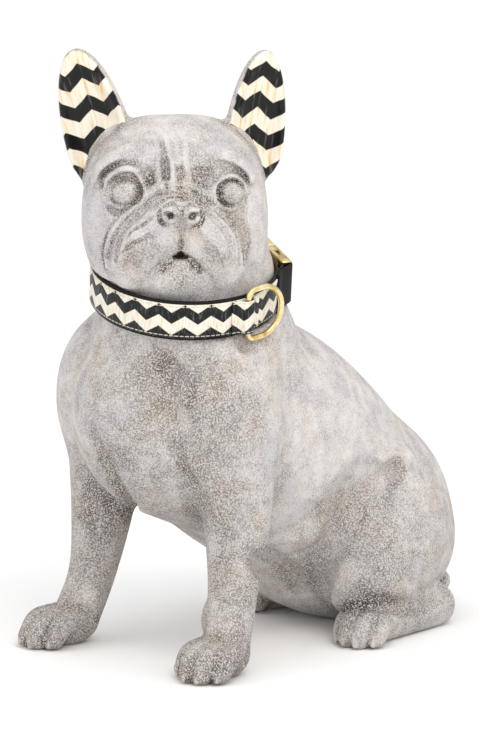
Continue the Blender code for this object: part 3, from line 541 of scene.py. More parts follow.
def netted(form, low, high, step):
    """A mesh round the zero level of a form, with one vertex in each cell that the surface crosses."""
    blocks = np.ceil((np.asarray(high) - low) / (4 * step)).astype(int)
    corners = np.indices(blocks).reshape(3, -1).T * 4
    rough = form(low + (corners + 2.0) * step)
    values = rough.reshape(blocks).repeat(4, 0).repeat(4, 1).repeat(4, 2)
    near = corners[np.abs(rough) < 4.8 * step]
    fine = (near[:, None, :] + np.indices((4, 4, 4)).reshape(3, -1).T[None]).reshape(-1, 3)
    values[tuple(fine.T)] = form(low + (fine + 0.5) * step)
    fill_pinches(values, 0.1 * step)
    inside = values < 0
    keys, places, quads = [], [], []
    for axis in range(3):
        here = [slice(None)] * 3
        there = [slice(None)] * 3
        here[axis], there[axis] = slice(None, -1), slice(1, None)
        index = np.argwhere(inside[tuple(here)] != inside[tuple(there)])
        ahead = index + np.eye(3, dtype=int)[axis]
        first, second = values[tuple(index.T)], values[tuple(ahead.T)]
        crossing = index + np.eye(3)[axis] * (first / (first - second))[:, None]
        right, back = np.eye(3, dtype=int)[(axis + 1) % 3], np.eye(3, dtype=int)[(axis + 2) % 3]
        ring = [np.ravel_multi_index((index - offset).T, values.shape)
                for offset in (0 * right, right, right + back, back)]
        ring = np.column_stack(ring)
        quads.append(np.where((first < 0)[:, None], ring, ring[:, ::-1]))
        keys.append(ring.ravel())
        places.append(crossing.repeat(4, axis=0))
    keys, places, quads = np.concatenate(keys), np.concatenate(places), np.concatenate(quads)
    cells, number = np.unique(keys, return_inverse=True)
    count = np.bincount(number)
    points = np.column_stack([np.bincount(number, places[:, axis]) / count for axis in range(3)])
    mesh = bpy.data.meshes.new("bulldog_casting")
    mesh.from_pydata((low + (points + 0.5) * step).tolist(), [], np.searchsorted(cells, quads).tolist())
    return mesh


def mesh_points(mesh):
    points = np.zeros(len(mesh.vertices) * 3)
    mesh.vertices.foreach_get("co", points)
    return points.reshape(-1, 3)


def edge_ends(mesh):
    """The two vertices of every edge, each way round."""
    edges = np.zeros(len(mesh.edges) * 2, int)
    mesh.edges.foreach_get("vertices", edges)
    edges = edges.reshape(-1, 2)
    return np.concatenate((edges, edges[:, ::-1]))


def middle_of_others(points, ends):
    """For each vertex, the middle of those that it shares an edge with."""
    count = np.bincount(ends[:, 0], minlength=len(points))[:, None]
    sums = [np.bincount(ends[:, 0], points[ends[:, 1], axis], len(points)) for axis in range(3)]
    return np.column_stack(sums) / count


def settle(mesh, form, rounds):
    """Evens out the vertices and moves each onto the surface of a form, several times over."""
    ends = edge_ends(mesh)
    points = mesh_points(mesh)
    normals = np.zeros(points.size)
    for turn in range(2 * rounds):
        if turn % 2 == 0:
            points = 0.5 * (points + middle_of_others(points, ends))
        mesh.vertices.foreach_set("co", points.ravel())
        mesh.update()
        mesh.vertex_normals.foreach_get("vector", normals)
        points = points - np.clip(form(points), -1.5, 1.5)[:, None] * normals.reshape(-1, 3)
    mesh.vertices.foreach_set("co", points.ravel())
    mesh.update()


def soften(mesh, rounds):
    """Takes the small facets out of the surface, as sanding would, without shrinking it."""
    ends = edge_ends(mesh)
    points = mesh_points(mesh)
    for _ in range(rounds):
        for push in (0.50, -0.53):
            points = points + push * (middle_of_others(points, ends) - points)
    points[:, 2] = np.maximum(points[:, 2], 0.0)
    mesh.vertices.foreach_set("co", points.ravel())
    mesh.update()


def refine(mesh, chosen):
    """Halves the size of the faces where the chosen vertices are."""
    work = bmesh.new()
    work.from_mesh(mesh)
    work.verts.ensure_lookup_table()
    edges = [edge for edge in work.edges if chosen[edge.verts[0].index] and chosen[edge.verts[1].index]]
    bmesh.ops.subdivide_edges(work, edges=edges, cuts=1, use_grid_fill=True)
    work.to_mesh(mesh)
    work.free()


def is_detailed(points):
    """The face, the ears and the paws."""
    head = to_head(points)
    face = (np.abs(head[:, 0]) < 62) & (head[:, 1] > -66) & (head[:, 1] < 58) & (head[:, 2] > 14)
    ears = (head[:, 1] > 30) & (np.abs(head[:, 0]) > 34) & (head[:, 2] > -30) & (head[:, 2] < 8)
    paws = (points[:, 2] < 34) & ((points[:, 1] < 18) | (np.abs(points[:, 1] - 163) < 26)
                                  & (np.abs(points[:, 0]) > 50))
    return face | ears | paws


def is_finest(points):
    """The middle of the face."""
    head = to_head(points)
    return (np.abs(head[:, 0]) < 55) & (head[:, 1] > -60) & (head[:, 1] < 50) & (head[:, 2] > 27)


casting_mesh = netted(figure_form, FIGURE_LOW, FIGURE_HIGH, BODY_GRID)
settle(casting_mesh, figure_form, 2)
refine(casting_mesh, is_detailed(mesh_points(casting_mesh)))
settle(casting_mesh, figure_form, 2)
refine(casting_mesh, is_finest(mesh_points(casting_mesh)))
settle(casting_mesh, figure_form, 3)
soften(casting_mesh, 2)


def to_world(points):
    """From the figure's millimetres to metres, with the origin under the middle of the statue."""
    return (np.asarray(points, float) - FIGURE_MIDDLE) / 1000


def vertex_normals(mesh):
    normals = np.zeros(len(mesh.vertices) * 3)
    mesh.vertex_normals.foreach_get("vector", normals)
    return normals.reshape(-1, 3)


def set_attribute(mesh, name, values):
    """Stores a number, or three, for each vertex, for a material to read."""
    values = np.asarray(values, float)
    kind, field = ("FLOAT", "value") if values.ndim == 1 else ("FLOAT_VECTOR", "vector")
    mesh.attributes.new(name, kind, "POINT").data.foreach_set(field, values.ravel())


def hollowness(points, normals, reach):
    """How much of the view from a surface is closed in, within a distance: 0 on a flat or a ridge."""
    return np.clip(1.0 - figure_form(points + normals * reach) / reach, 0.0, 1.0)


# The paint ends inside the ear's outline, where the ear turns away, and clear of the skull
PAINT_SHARE = 0.985
PAINT_FACING = 0.12
PAINT_FALL = 9.0
PAINT_GAP = 2.0


def ear_paint(points, normals):
    """How far inside the paint of an ear each point lies, in mm, and its place across and up there."""
    head, facing = to_head(points), normals @ HEAD_AXES.T
    skull = blended(head, HEAD_MASSES)
    inside = np.full(len(points), -10.0)
    place = np.zeros((len(points), 3))
    for (side, *_), (shell, _) in zip(EARS, EAR_MASSES):
        local = (head - shell["centre"]) @ shell["turn"]
        outward = local[:, 0] * np.sign(shell["turn"][0, 0]) * side
        height = np.where(local[:, 1] < 0, shell["below"], shell["radii"][1])
        reach = np.hypot((outward - 0.8) / shell["radii"][0], local[:, 1] / height)
        front = PAINT_FALL * (facing @ shell["turn"][:, 2] - PAINT_FACING)
        paint = np.minimum((PAINT_SHARE - reach) * shell["radii"][0], front)
        paint = np.minimum(paint, 1.2 * (skull - PAINT_GAP))
        paint = np.minimum(paint, EAR_HALF_DEPTH + PAINT_GAP - local[:, 2])
        mine = side * head[:, 0] > 30
        inside[mine] = paint[mine]
        place[mine] = np.column_stack((outward, local[:, 1], np.full(len(points), 60.0 * side)))[mine]
    return inside, place


# Where the colour is darkened, by the brown grey wash left on thicker and by painted shade in the
# creases, pockets and hollows: left and up on the face, the radius and how much
FACE_WASH_AND_SHADE = (
    (1, 0, 11, 0.38), (-20, 23, 6, 0.3), (17, 28, 8, 0.32), (-45, 28, 7, 0.1), (-31, 33, 7, 0.1),
    (37, 30, 8, 0.12), (-9, 29, 5, 0.14), (1, 26, 5, 0.14), (-37, 14, 7, 0.16),
    (38, 13, 7, 0.2), (-34, -30, 11, 0.2), (24, -28, 10, 0.2), (2, -46, 12, 0.26), (20, 9, 8, 0.16),
    (-8.6, 20, 2.0, 0.4), (-8.8, 25, 2.0, 0.4), (-9.0, 31, 1.8, 0.35), (-9.6, 36, 1.8, 0.2),
    (0.5, 19, 2.0, 0.45), (0.6, 24, 1.9, 0.4), (1.0, 30, 1.8, 0.25), (13, 18, 5, 0.22),
    (-46, 22, 2.4, 0.12), (-31, 25, 2.6, 0.1), (-26.5, 19, 2.8, 0.14),
    (28, 18, 2.6, 0.14), (32, 22, 2.6, 0.1), (46, 20, 2.4, 0.1),
    (1.2, -13, 2.2, 0.26), (1.2, -19, 2.2, 0.26), (1.2, -24, 2.2, 0.2), (-12.6, -3, 3.0, 0.2),
    (14.8, -3, 3.0, 0.22), (-26, -19, 6, 0.12), (-17, -24, 8, 0.14), (-46, 2, 8, 0.12),
    (42, -8, 8, 0.14), (-12, -38, 5, 0.18), (14, -38, 5, 0.18),
)
# The same on the body, with painted shade in its grooves and on its shaded sides, across and up as it is
# seen from its left front
BODY_WASH_AND_SHADE = (
    (-44, -18, 16, 0.18), (-62, 0, 12, 0.2), (-22, 0, 16, 0.14), (-90, -60, 14, 0.22),
    (-28, -70, 14, 0.25), (-18, -100, 16, 0.26), (74, -108, 20, 0.26), (90, -92, 14, 0.1),
    (60, -140, 18, 0.26), (100, -170, 16, 0.2), (84, -176, 14, 0.25), (30, -150, 24, 0.2),
    (-60, -120, 14, 0.14), (100, -130, 20, 0.14), (-100, -20, 16, 0.14), (-60, -30, 44, 0.24),
    (-104, -100, 26, 0.22), (-14, -40, 26, 0.2), (132, -122, 34, 0.18), (118, -160, 20, 0.14),
)


def washed_and_shaded(places, spots):
    total = np.zeros(len(places))
    for across, up, radius, amount in spots:
        away = ((places[:, :2] - (across, up)) ** 2).sum(1) / radius**2
        total += amount * np.exp(-away)
    return total


# How far a groove, a fold and a crest are felt for, in mm. Grooves and folds are darkened with painted
# shade, and crests are lightened with a painted highlight as well as for the rubbed white of the stone.
GROOVE_REACH = 3.0
FOLD_REACH = 12.0
CREST_REACH = 3.5
points, normals = mesh_points(casting_mesh), vertex_normals(casting_mesh)
head_points = to_head(points)
# The wash and painted shade: darker spots on the face and body, in the creases and hollows and on the
# shaded sides
wash_and_shade = washed_and_shaded(head_points, FACE_WASH_AND_SHADE) * np.clip((head_points[:, 2] - 14) / 12, 0.0, 1.0)
seen = np.clip(3.0 * normals @ SIDE_AXES[2], 0.0, 1.0) * np.clip((300.0 - points[:, 2]) / 20, 0.0, 1.0)
wash_and_shade += washed_and_shaded((points - SIDE_CENTRE) @ SIDE_AXES.T, BODY_WASH_AND_SHADE) * seen
# darker on the forelegs, and towards the bottom on all the paws
foreleg = np.clip((160.0 - points[:, 2]) / 70, 0.0, 1.0) * np.clip((90.0 - points[:, 1]) / 30, 0.0, 1.0)
wash_and_shade += 0.22 * foreleg + 0.16 * np.clip((34.0 - points[:, 2]) / 20, 0.0, 1.0)
set_attribute(casting_mesh, "wash_and_shade", wash_and_shade)
paint, paint_place = ear_paint(points, normals)
# Painted shade in the creases and folds, with the wash that stays there, and a painted highlight on the
# crests, with the white where the stone was rubbed
crest_rub_and_highlight = np.clip(1.0 + figure_form(points - CREST_REACH * normals) / CREST_REACH, 0.0, 1.0)
set_attribute(casting_mesh, "groove", hollowness(points, normals, GROOVE_REACH))
set_attribute(casting_mesh, "fold", hollowness(points, normals, FOLD_REACH))
set_attribute(casting_mesh, "crest_rub_and_highlight", crest_rub_and_highlight)
set_attribute(casting_mesh, "paint", paint)
set_attribute(casting_mesh, "paint_place", paint_place)
casting_mesh.vertices.foreach_set("co", to_world(points).ravel())
casting_mesh.shade_smooth()
casting_mesh.update()
casting = bpy.data.objects.new("bulldog_casting", casting_mesh)
bpy.context.collection.objects.link(casting)


def linear(colour):
    """The linear colour of an sRGB hex value."""
    channels = [int(colour[i:i + 2], 16) / 255 for i in (1, 3, 5)]
    return (*(c / 12.92 if c <= 0.04045 else ((c + 0.055) / 1.055) ** 2.4 for c in channels), 1.0)


def new_material(name):
    """A material with nodes, and its shader."""
    material = bpy.data.materials.new(name)
    material.use_nodes = True
    return material, material.node_tree.nodes["Principled BSDF"]


def set_inputs(node, inputs):
    """Sets a node's inputs to values or hex colours, or links them from nodes and outputs."""
    for key, value in inputs.items():
        if isinstance(value, bpy.types.Node):
            value = value.outputs[0]
        if isinstance(value, bpy.types.NodeSocket):
            node.id_data.links.new(value, node.inputs[key])
        else:
            node.inputs[key].default_value = linear(value) if isinstance(value, str) else value


def add_node(material, kind, inputs=(), stops=(), **settings):
    """Adds a shader node of a kind, with its settings and inputs, and the stops of a colour ramp."""
    made = material.node_tree.nodes.new("ShaderNode" + kind)
    for name, value in settings.items():
        setattr(made, name, value)
    set_inputs(made, dict(inputs))
    if stops:
        ramp = made.color_ramp.elements
        ramp.remove(ramp[1])
        ramp[0].position, ramp[0].color = stops[0][0], linear(stops[0][1])
        for place, colour in stops[1:]:
            ramp.new(place).color = linear(colour)
    return made


def zigzag_bands(material, across, along, period, swing, stripe, edge):
    """A factor for bands that run in zigzags: 1 on the dark bands and 0 on the light ones."""
    wave = add_node(material, "Math", {0: across, 1: period / 2}, operation="PINGPONG")
    raised = add_node(material, "Math", {0: wave, 1: 2 * swing / period, 2: along},
                      operation="MULTIPLY_ADD")
    band = add_node(material, "Math", {0: raised, 1: stripe}, operation="PINGPONG")
    return add_node(material, "MapRange", {"Value": band, "From Min": stripe / 2 - edge,
                                                     "From Max": stripe / 2 + edge})


# Cast stone of cement and resin, cast in a mould and toned by hand: matt and grainy, white where it was
# rubbed and brown grey where the wash stayed in the folds, with painted shade in the grooves, folds and
# hollows and a painted highlight on the crests. Its sand is about 1 mm.
stone, shader = new_material("cast_stone_toned")
metres = add_node(stone, "TexCoord").outputs["Object"]
groove, fold, ridge, wash_and_shade, inside = (add_node(stone, "Attribute", attribute_name=name).outputs["Fac"]
                                     for name in ("groove", "fold", "crest_rub_and_highlight", "wash_and_shade", "paint"))
cloud = add_node(stone, "TexNoise", {"Vector": metres, "Scale": 1 / 0.045, "Detail": 3.0})
blotch = add_node(stone, "TexNoise", {"Vector": metres, "Scale": 1 / 0.010, "Detail": 3.0,
                                                "Roughness": 0.5})
sand = add_node(stone, "TexNoise", {"Vector": metres, "Scale": 1 / 0.0011, "Detail": 1.0})
# the tone: painted shade and the wash in grooves, folds and hollows, a painted highlight with the rubbed
# white on the crests, and random clouds and blotches
tone = wash_and_shade
for cause, share in ((groove, 0.46), (fold, 0.5), (ridge, -0.34), (cloud, 0.42), (blotch, 0.5)):
    tone = add_node(stone, "Math", {0: cause, 1: share, 2: tone}, operation="MULTIPLY_ADD")
tone = add_node(stone, "Math", {0: tone, 1: 0.24}, operation="SUBTRACT", use_clamp=True)
body_colour = add_node(stone, "ValToRGB", {0: tone}, stops=(
    (0.0, "#dbd8d5"), (0.25, "#c8c4c1"), (0.5, "#a6a09b"), (0.75, "#857d77"), (1.0, "#635a54")))
hue = add_node(stone, "Mapping", {"Vector": metres, "Location": (0.31, 0.12, 0.57)})
hue = add_node(stone, "TexNoise", {"Vector": hue, "Scale": 1 / 0.03, "Detail": 3.0})
tint = add_node(stone, "ValToRGB", {0: hue}, stops=(
    (0.32, "#c6cfe6"), (0.42, "#dcd4ea"), (0.48, "#ffffff"), (0.54, "#ffffff"), (0.62, "#f0d8cf"),
    (0.72, "#ead9b4")))
tinted = add_node(stone, "Mix", {0: 0.3, 6: body_colour, 7: tint}, data_type="RGBA",
                  blend_type="MULTIPLY")
speck = add_node(stone, "MapRange", {"Value": sand, "From Min": 0.52, "From Max": 0.6})
specks = add_node(stone, "Math", {0: tone, 1: 0.95, 2: 0.0}, operation="MULTIPLY_ADD",
                  use_clamp=True)
specks = add_node(stone, "Math", {0: speck, 1: specks}, operation="MULTIPLY")
speckled = add_node(stone, "Mix", {0: specks, 6: tinted.outputs[2], 7: "#4b433d"},
                    data_type="RGBA")
light = add_node(stone, "Math", {0: tone, 1: 0.66, 2: 0.12}, operation="MULTIPLY_ADD",
                 use_clamp=True)
fleck = add_node(stone, "MapRange", {"Value": sand, "From Min": 0.47, "From Max": 0.38,
                                               "To Max": light})
stone_colour = add_node(stone, "Mix", {0: fleck, 6: speckled.outputs[2], 7: "#e6e3df"},
                        data_type="RGBA")
pits = add_node(stone, "Bump", {"Strength": 0.45, "Distance": 0.0004, "Height": sand})
skin = add_node(stone, "Bump", {"Strength": 0.5, "Distance": 0.0012, "Height": blotch,
                                          "Normal": pits})
set_inputs(shader, {"Base Color": stone_colour.outputs[2], "Roughness": 0.88,
                    "Specular IOR Level": 0.3, "Normal": skin})

# Glossy enamel on the ears, brushed on by hand: it mirrors the room, and the streaks of the brush
# show in it. Its bands of black and ivory are about 12 mm wide.
place = add_node(stone, "Attribute", attribute_name="paint_place").outputs["Vector"]
split = add_node(stone, "SeparateXYZ", {0: place})
waver = add_node(stone, "TexNoise", {"Vector": place, "Scale": 1 / 13.0, "Detail": 1.0})
waver = add_node(stone, "Math", {0: waver, 1: 4.0, 2: split.outputs["Y"]},
                 operation="MULTIPLY_ADD")
bands = zigzag_bands(stone, split.outputs["X"], waver, period=22.0, swing=8.0, stripe=12.0, edge=0.35)
brush = add_node(stone, "Mapping", {"Vector": place, "Scale": (1 / 2.6, 1 / 30.0, 1.0)})
brush = add_node(stone, "TexNoise", {"Vector": brush, "Scale": 1.0, "Detail": 3.0})
ivory = add_node(stone, "ValToRGB", {0: brush}, stops=(
    (0.4, "#f0eadd"), (0.54, "#ece3d0"), (0.64, "#e6cfa2"), (0.76, "#cfa468")))
black = add_node(stone, "ValToRGB", {0: brush}, stops=(
    (0.46, "#070605"), (0.6, "#12100f"), (0.74, "#6e675d")))
painted = add_node(stone, "Mix", {0: bands, 6: ivory, 7: black}, data_type="RGBA")
strokes = add_node(stone, "Bump", {"Strength": 0.35, "Distance": 0.0004, "Height": brush})
enamel = add_node(stone, "BsdfPrincipled", {"Base Color": painted.outputs[2], "Roughness": 0.12,
                                            "Specular IOR Level": 0.3, "Normal": strokes})
ragged = add_node(stone, "Math", {0: blotch, 1: 1.6, 2: inside}, operation="MULTIPLY_ADD")
covered = add_node(stone, "MapRange", {"Value": ragged, "From Min": 0.5, "From Max": 1.1})
finish = add_node(stone, "MixShader", {0: covered, 1: shader, 2: enamel})
set_inputs(stone.node_tree.nodes["Material Output"], {"Surface": finish})
casting_mesh.materials.append(stone)
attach(casting, "root")
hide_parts("bulldog")


# The collar's strap
# A strip of black nylon webbing, 30 mm wide, woven with a fine rib. It runs round the neck, and
# each end goes round a bar of the buckle and is sewn back on itself.
WEBBING_WIDTH = 30.0
WEBBING_THICKNESS = 2.2
RIBBON_WIDTH = 26.0
RIBBON_THICKNESS = 1.0
STITCH_GAP = 0.3
NECK_GAP = 0.6
BUCKLE_BEARING = 110.0
BUCKLE_THICKNESS = 8.0
SOCKET_LENGTH = 34.0
PRONG_LENGTH = 16.0
BUCKLE_GAP = 0.4
BAR_LENGTH = 2.8
LIFT_ANGLE = 11.0
TAIL_ANGLE = 7.0
LOOP_RADIUS = (COLLAR_HALF_ACROSS + COLLAR_HALF_DEEP) / 2
HALF_BUCKLE = (SOCKET_LENGTH + BUCKLE_GAP + PRONG_LENGTH) / 2
BUCKLE_MIDDLE = NECK_GAP + BUCKLE_THICKNESS / 2
BAR_REACH = HALF_BUCKLE - BAR_LENGTH / 2
BAR_ANGLE = math.degrees(math.atan2(BAR_REACH, LOOP_RADIUS + BUCKLE_MIDDLE))
FOLD_RADIUS = BAR_LENGTH / math.sqrt(2) + BUCKLE_GAP + WEBBING_THICKNESS / 2


def loop_point(bearing, offset):
    """A point that far outside the webbing's inner face, as left and front in the collar's plane."""
    angle = np.radians(bearing)
    return np.stack(((COLLAR_HALF_ACROSS + offset) * np.sin(angle),
                     (COLLAR_HALF_DEEP + offset) * np.cos(angle)), axis=-1)


def loop_frame(bearing):
    """A point of the webbing's inner face, the way the loop runs on to the left there, and out of it."""
    onward = unit_vector(loop_point(bearing + 1, 0.0) - loop_point(bearing - 1, 0.0))
    return loop_point(bearing, 0.0), onward, np.array((-onward[1], onward[0]))


def collar_place(points):
    """From left, front and up in the collar's frame, in mm, to a place in the scene."""
    return to_world(np.asarray(points, float) @ COLLAR_AXES + COLLAR_CENTRE)


def eased(share):
    return share * share * (3.0 - 2.0 * share)


def webbing_end(side):
    """From the loop to the buckle's bar, round the bar, and back over the strap a little way."""
    origin, onward, outward = loop_frame(BUCKLE_BEARING)
    away = side * onward
    bar = origin + away * BAR_REACH + outward * BUCKLE_MIDDLE
    doubled = WEBBING_THICKNESS / 2 + WEBBING_THICKNESS + STITCH_GAP
    lift = math.radians(LIFT_ANGLE) * LOOP_RADIUS
    share = np.linspace(0.0, 1.0, 11)[1:]
    bearings = BUCKLE_BEARING + side * (BAR_ANGLE + LIFT_ANGLE * share)
    runs = []
    for offset, height in ((WEBBING_THICKNESS / 2, -FOLD_RADIUS), (doubled, FOLD_RADIUS)):
        level = bar + outward * height + np.outer(lift * share, away)
        runs.append(level + (loop_point(bearings, offset) - level) * eased(share)[:, None])
    turns = np.radians(np.linspace(-90, 90, 17))
    fold = [bar + FOLD_RADIUS * (outward * math.sin(turn) - away * math.cos(turn)) for turn in turns]
    tail = loop_point(BUCKLE_BEARING + side * (BAR_ANGLE + LIFT_ANGLE + TAIL_ANGLE), doubled)
    return [*runs[0][::-1], *fold, *runs[1], tail]


def make_active(obj):
    bpy.ops.object.select_all(action="DESELECT")
    bpy.context.view_layer.objects.active = obj
    obj.select_set(True)


def path_object(name, points, closed=False):
    """An object of edges alone that join a row of points in the collar's frame."""
    mesh = bpy.data.meshes.new(name)
    count = len(points)
    edges = [(i, (i + 1) % count) for i in range(count if closed else count - 1)]
    mesh.from_pydata(collar_place(points).tolist(), edges, [])
    obj = bpy.data.objects.new(name, mesh)
    bpy.context.collection.objects.link(obj)
    make_active(obj)
    return obj


def apply_modifier(obj, kind, **settings):
    make_active(obj)
    modifier = obj.modifiers.new(kind, kind)
    for name, value in settings.items():
        setattr(modifier, name, value)
    bpy.ops.object.modifier_apply(modifier=modifier.name)


def woven_strip(name, middle, thickness, width):
    """A flat strip along a line in the collar's plane, with its place along and across, in mm."""
    middle = np.asarray(middle, float)
    strip = path_object(name, np.column_stack((middle, np.full(len(middle), -width / 2))))
    bpy.ops.object.mode_set(mode="EDIT")
    bpy.ops.mesh.select_all(action="SELECT")
    upward = tuple(COLLAR_AXES[2] * width / 1000)
    bpy.ops.mesh.extrude_region_move(TRANSFORM_OT_translate={"value": upward})
    bpy.ops.object.mode_set(mode="OBJECT")
    along = np.concatenate(((0.0,), np.cumsum(np.linalg.norm(np.diff(middle, axis=0), axis=1))))
    local = (mesh_points(strip.data) * 1000 + FIGURE_MIDDLE - COLLAR_CENTRE) @ COLLAR_AXES.T
    nearest = ((local[:, None, :2] - middle[None]) ** 2).sum(2).argmin(1)
    set_attribute(strip.data, "run", along[nearest])
    set_attribute(strip.data, "across", local[:, 2])
    apply_modifier(strip, "SOLIDIFY", thickness=thickness / 1000, offset=0.0, use_even_offset=True)
    bpy.ops.object.mode_set(mode="EDIT")
    bpy.ops.mesh.select_all(action="SELECT")
    bpy.ops.mesh.normals_make_consistent(inside=False)
    bpy.ops.object.mode_set(mode="OBJECT")
    apply_modifier(strip, "BEVEL", width=0.25 * thickness / 1000, segments=2,
                   limit_method="ANGLE", angle_limit=math.radians(50))
    strip.data.shade_smooth()
    make_active(strip)
    bpy.ops.object.shade_smooth_by_angle(angle=math.radians(40))
    return strip


loop_bearings = np.linspace(BAR_ANGLE + LIFT_ANGLE, 360 - BAR_ANGLE - LIFT_ANGLE, 160)[1:-1]
loop = list(loop_point(BUCKLE_BEARING + loop_bearings, WEBBING_THICKNESS / 2))
webbing = woven_strip("neck_webbing", webbing_end(1)[::-1] + loop + webbing_end(-1),
                      WEBBING_THICKNESS, WEBBING_WIDTH)

# Nylon webbing, woven and dyed black: dull, with a rib of yarns across it every 1.6 mm
nylon, shader = new_material("nylon_webbing_black")
run = add_node(nylon, "Attribute", attribute_name="run").outputs["Fac"]
across = add_node(nylon, "Attribute", attribute_name="across").outputs["Fac"]
rib = add_node(nylon, "Math", {0: run, 1: 0.8}, operation="PINGPONG")
yarn = add_node(nylon, "Math", {0: across, 1: 0.6}, operation="PINGPONG")
weave = add_node(nylon, "Math", {0: rib, 1: yarn}, operation="MULTIPLY")
# painted shade between the yarns and a painted highlight on their tops, following the rib's height
rib_shade_and_highlight = add_node(nylon, "ValToRGB", {0: weave}, stops=((0.0, "#080707"), (0.5, "#1d1b1a")))
raised = add_node(nylon, "Bump", {"Strength": 0.8, "Distance": 0.0004, "Height": weave})
set_inputs(shader, {"Base Color": rib_shade_and_highlight, "Roughness": 0.62, "Specular IOR Level": 0.25, "Normal": raised})
webbing.data.materials.append(nylon)
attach(webbing, "root")
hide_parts("collar_webbing")


# The ribbon on the collar
# A woven ribbon, 26 mm wide, with zigzag bands of black and ivory. It is sewn flat on the outside
# of the webbing, with a row of stitches along each edge.
RIBBON_ANGLE = BAR_ANGLE + LIFT_ANGLE + TAIL_ANGLE + 2.0
RIBBON_INNER = WEBBING_THICKNESS + STITCH_GAP
RIBBON_OUTER = RIBBON_INNER + RIBBON_THICKNESS
ribbon_bearings = BUCKLE_BEARING + np.linspace(RIBBON_ANGLE, 360 - RIBBON_ANGLE, 180)
ribbon = woven_strip("neck_ribbon", loop_point(ribbon_bearings, (RIBBON_INNER + RIBBON_OUTER) / 2),
                     RIBBON_THICKNESS, RIBBON_WIDTH)

# Polyester ribbon, woven in two colours and calendered: a soft gloss, threads about 0.7 mm apart,
# drawn a little coarser than real, and stitches 3 mm long near its edges
polyester, shader = new_material("woven_ribbon_zigzag")
run = add_node(polyester, "Attribute", attribute_name="run").outputs["Fac"]
across = add_node(polyester, "Attribute", attribute_name="across").outputs["Fac"]
thread_place = add_node(polyester, "CombineXYZ", {0: run, 1: across})
bands = zigzag_bands(polyester, run, across, period=19.0, swing=6.5, stripe=8.7, edge=0.25)
brush = add_node(polyester, "Mapping", {"Vector": thread_place,
                                                  "Scale": (1 / 1.5, 1 / 9.0, 1.0)})
brush = add_node(polyester, "TexNoise", {"Vector": brush, "Scale": 1.0, "Detail": 3.0})
ivory = add_node(polyester, "ValToRGB", {0: brush}, stops=(
    (0.42, "#efeadf"), (0.58, "#e6ddc9"), (0.72, "#cdbb96")))
black = add_node(polyester, "ValToRGB", {0: brush}, stops=(
    (0.42, "#0a0a0a"), (0.55, "#171818"), (0.66, "#4d5758")))
dyed = add_node(polyester, "Mix", {0: bands, 6: ivory, 7: black}, data_type="RGBA")
edge = add_node(polyester, "Math", {0: across}, operation="ABSOLUTE")
row = add_node(polyester, "Math", {0: edge, 1: RIBBON_WIDTH / 2 - 1.7, 2: 0.35},
               operation="COMPARE")
dash = add_node(polyester, "Math", {0: run, 1: 1.9}, operation="PINGPONG")
dash = add_node(polyester, "Math", {0: dash, 1: 0.5}, operation="GREATER_THAN")
stitch = add_node(polyester, "Math", {0: row, 1: dash}, operation="MULTIPLY")
sewn = add_node(polyester, "Mix", {0: stitch, 6: dyed.outputs[2], 7: "#d8cfbb"},
                data_type="RGBA")
warp = add_node(polyester, "Math", {0: across, 1: 0.45}, operation="PINGPONG")
weft = add_node(polyester, "Math", {0: run, 1: 0.45}, operation="PINGPONG")
weave = add_node(polyester, "Math", {0: warp, 1: weft}, operation="ADD")
weave = add_node(polyester, "Math", {0: stitch, 1: 1.6, 2: weave}, operation="MULTIPLY_ADD")
raised = add_node(polyester, "Bump", {"Strength": 0.6, "Distance": 0.0003, "Height": weave})
set_inputs(shader, {"Base Color": sewn.outputs[2], "Roughness": 0.42, "Specular IOR Level": 0.3,
                    "Normal": raised})
ribbon.data.materials.append(polyester)
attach(ribbon, "root")
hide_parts("collar_ribbon")


# The D-ring
# A ring of thick brass wire, 4.4 mm, bent and brazed shut, and plated a bright gold. Its straight
# bar lies on the ribbon, and its bow points towards the buckle.
RING_BEARING = 37.0
RING_INNER_WIDTH = 34.0
RING_INNER_DEPTH = 28.0
RING_WIRE = 4.4
RING_GAP = 0.4
RING_OFFSET = RIBBON_OUTER + RING_GAP + RING_WIRE / 2
ring_half = (RING_INNER_WIDTH + RING_WIRE) / 2
ring_corner = 1.4 * RING_WIRE
ring_bow = RING_INNER_DEPTH + RING_WIRE - ring_half
ring_path = [(0.0, height) for height in np.linspace(-1, 1, 6) * (ring_half - ring_corner)]
for x, z, radius, start, end, steps in (
        (ring_corner, ring_half - ring_corner, ring_corner, 170, 100, 8),
        (ring_bow, 0.0, ring_half, 90, -90, 41),
        (ring_corner, ring_corner - ring_half, ring_corner, 260, 190, 8)):
    for turn in np.radians(np.linspace(start, end, steps)):
        ring_path.append((x + radius * math.cos(turn), z + radius * math.sin(turn)))
origin, onward, outward = (np.append(vector, 0.0) for vector in loop_frame(RING_BEARING))
ring_path = [origin + outward * RING_OFFSET + onward * x + np.array((0.0, 0.0, z)) for x, z in ring_path]
ring = path_object("leash_ring", ring_path, closed=True)
bpy.ops.object.convert(target="CURVE")
ring = bpy.context.object
ring.data.bevel_depth = RING_WIRE / 2000
ring.data.bevel_resolution = 6
bpy.ops.object.convert(target="MESH")
ring = bpy.context.object
ring.name = "leash_ring"
ring.data.shade_smooth()


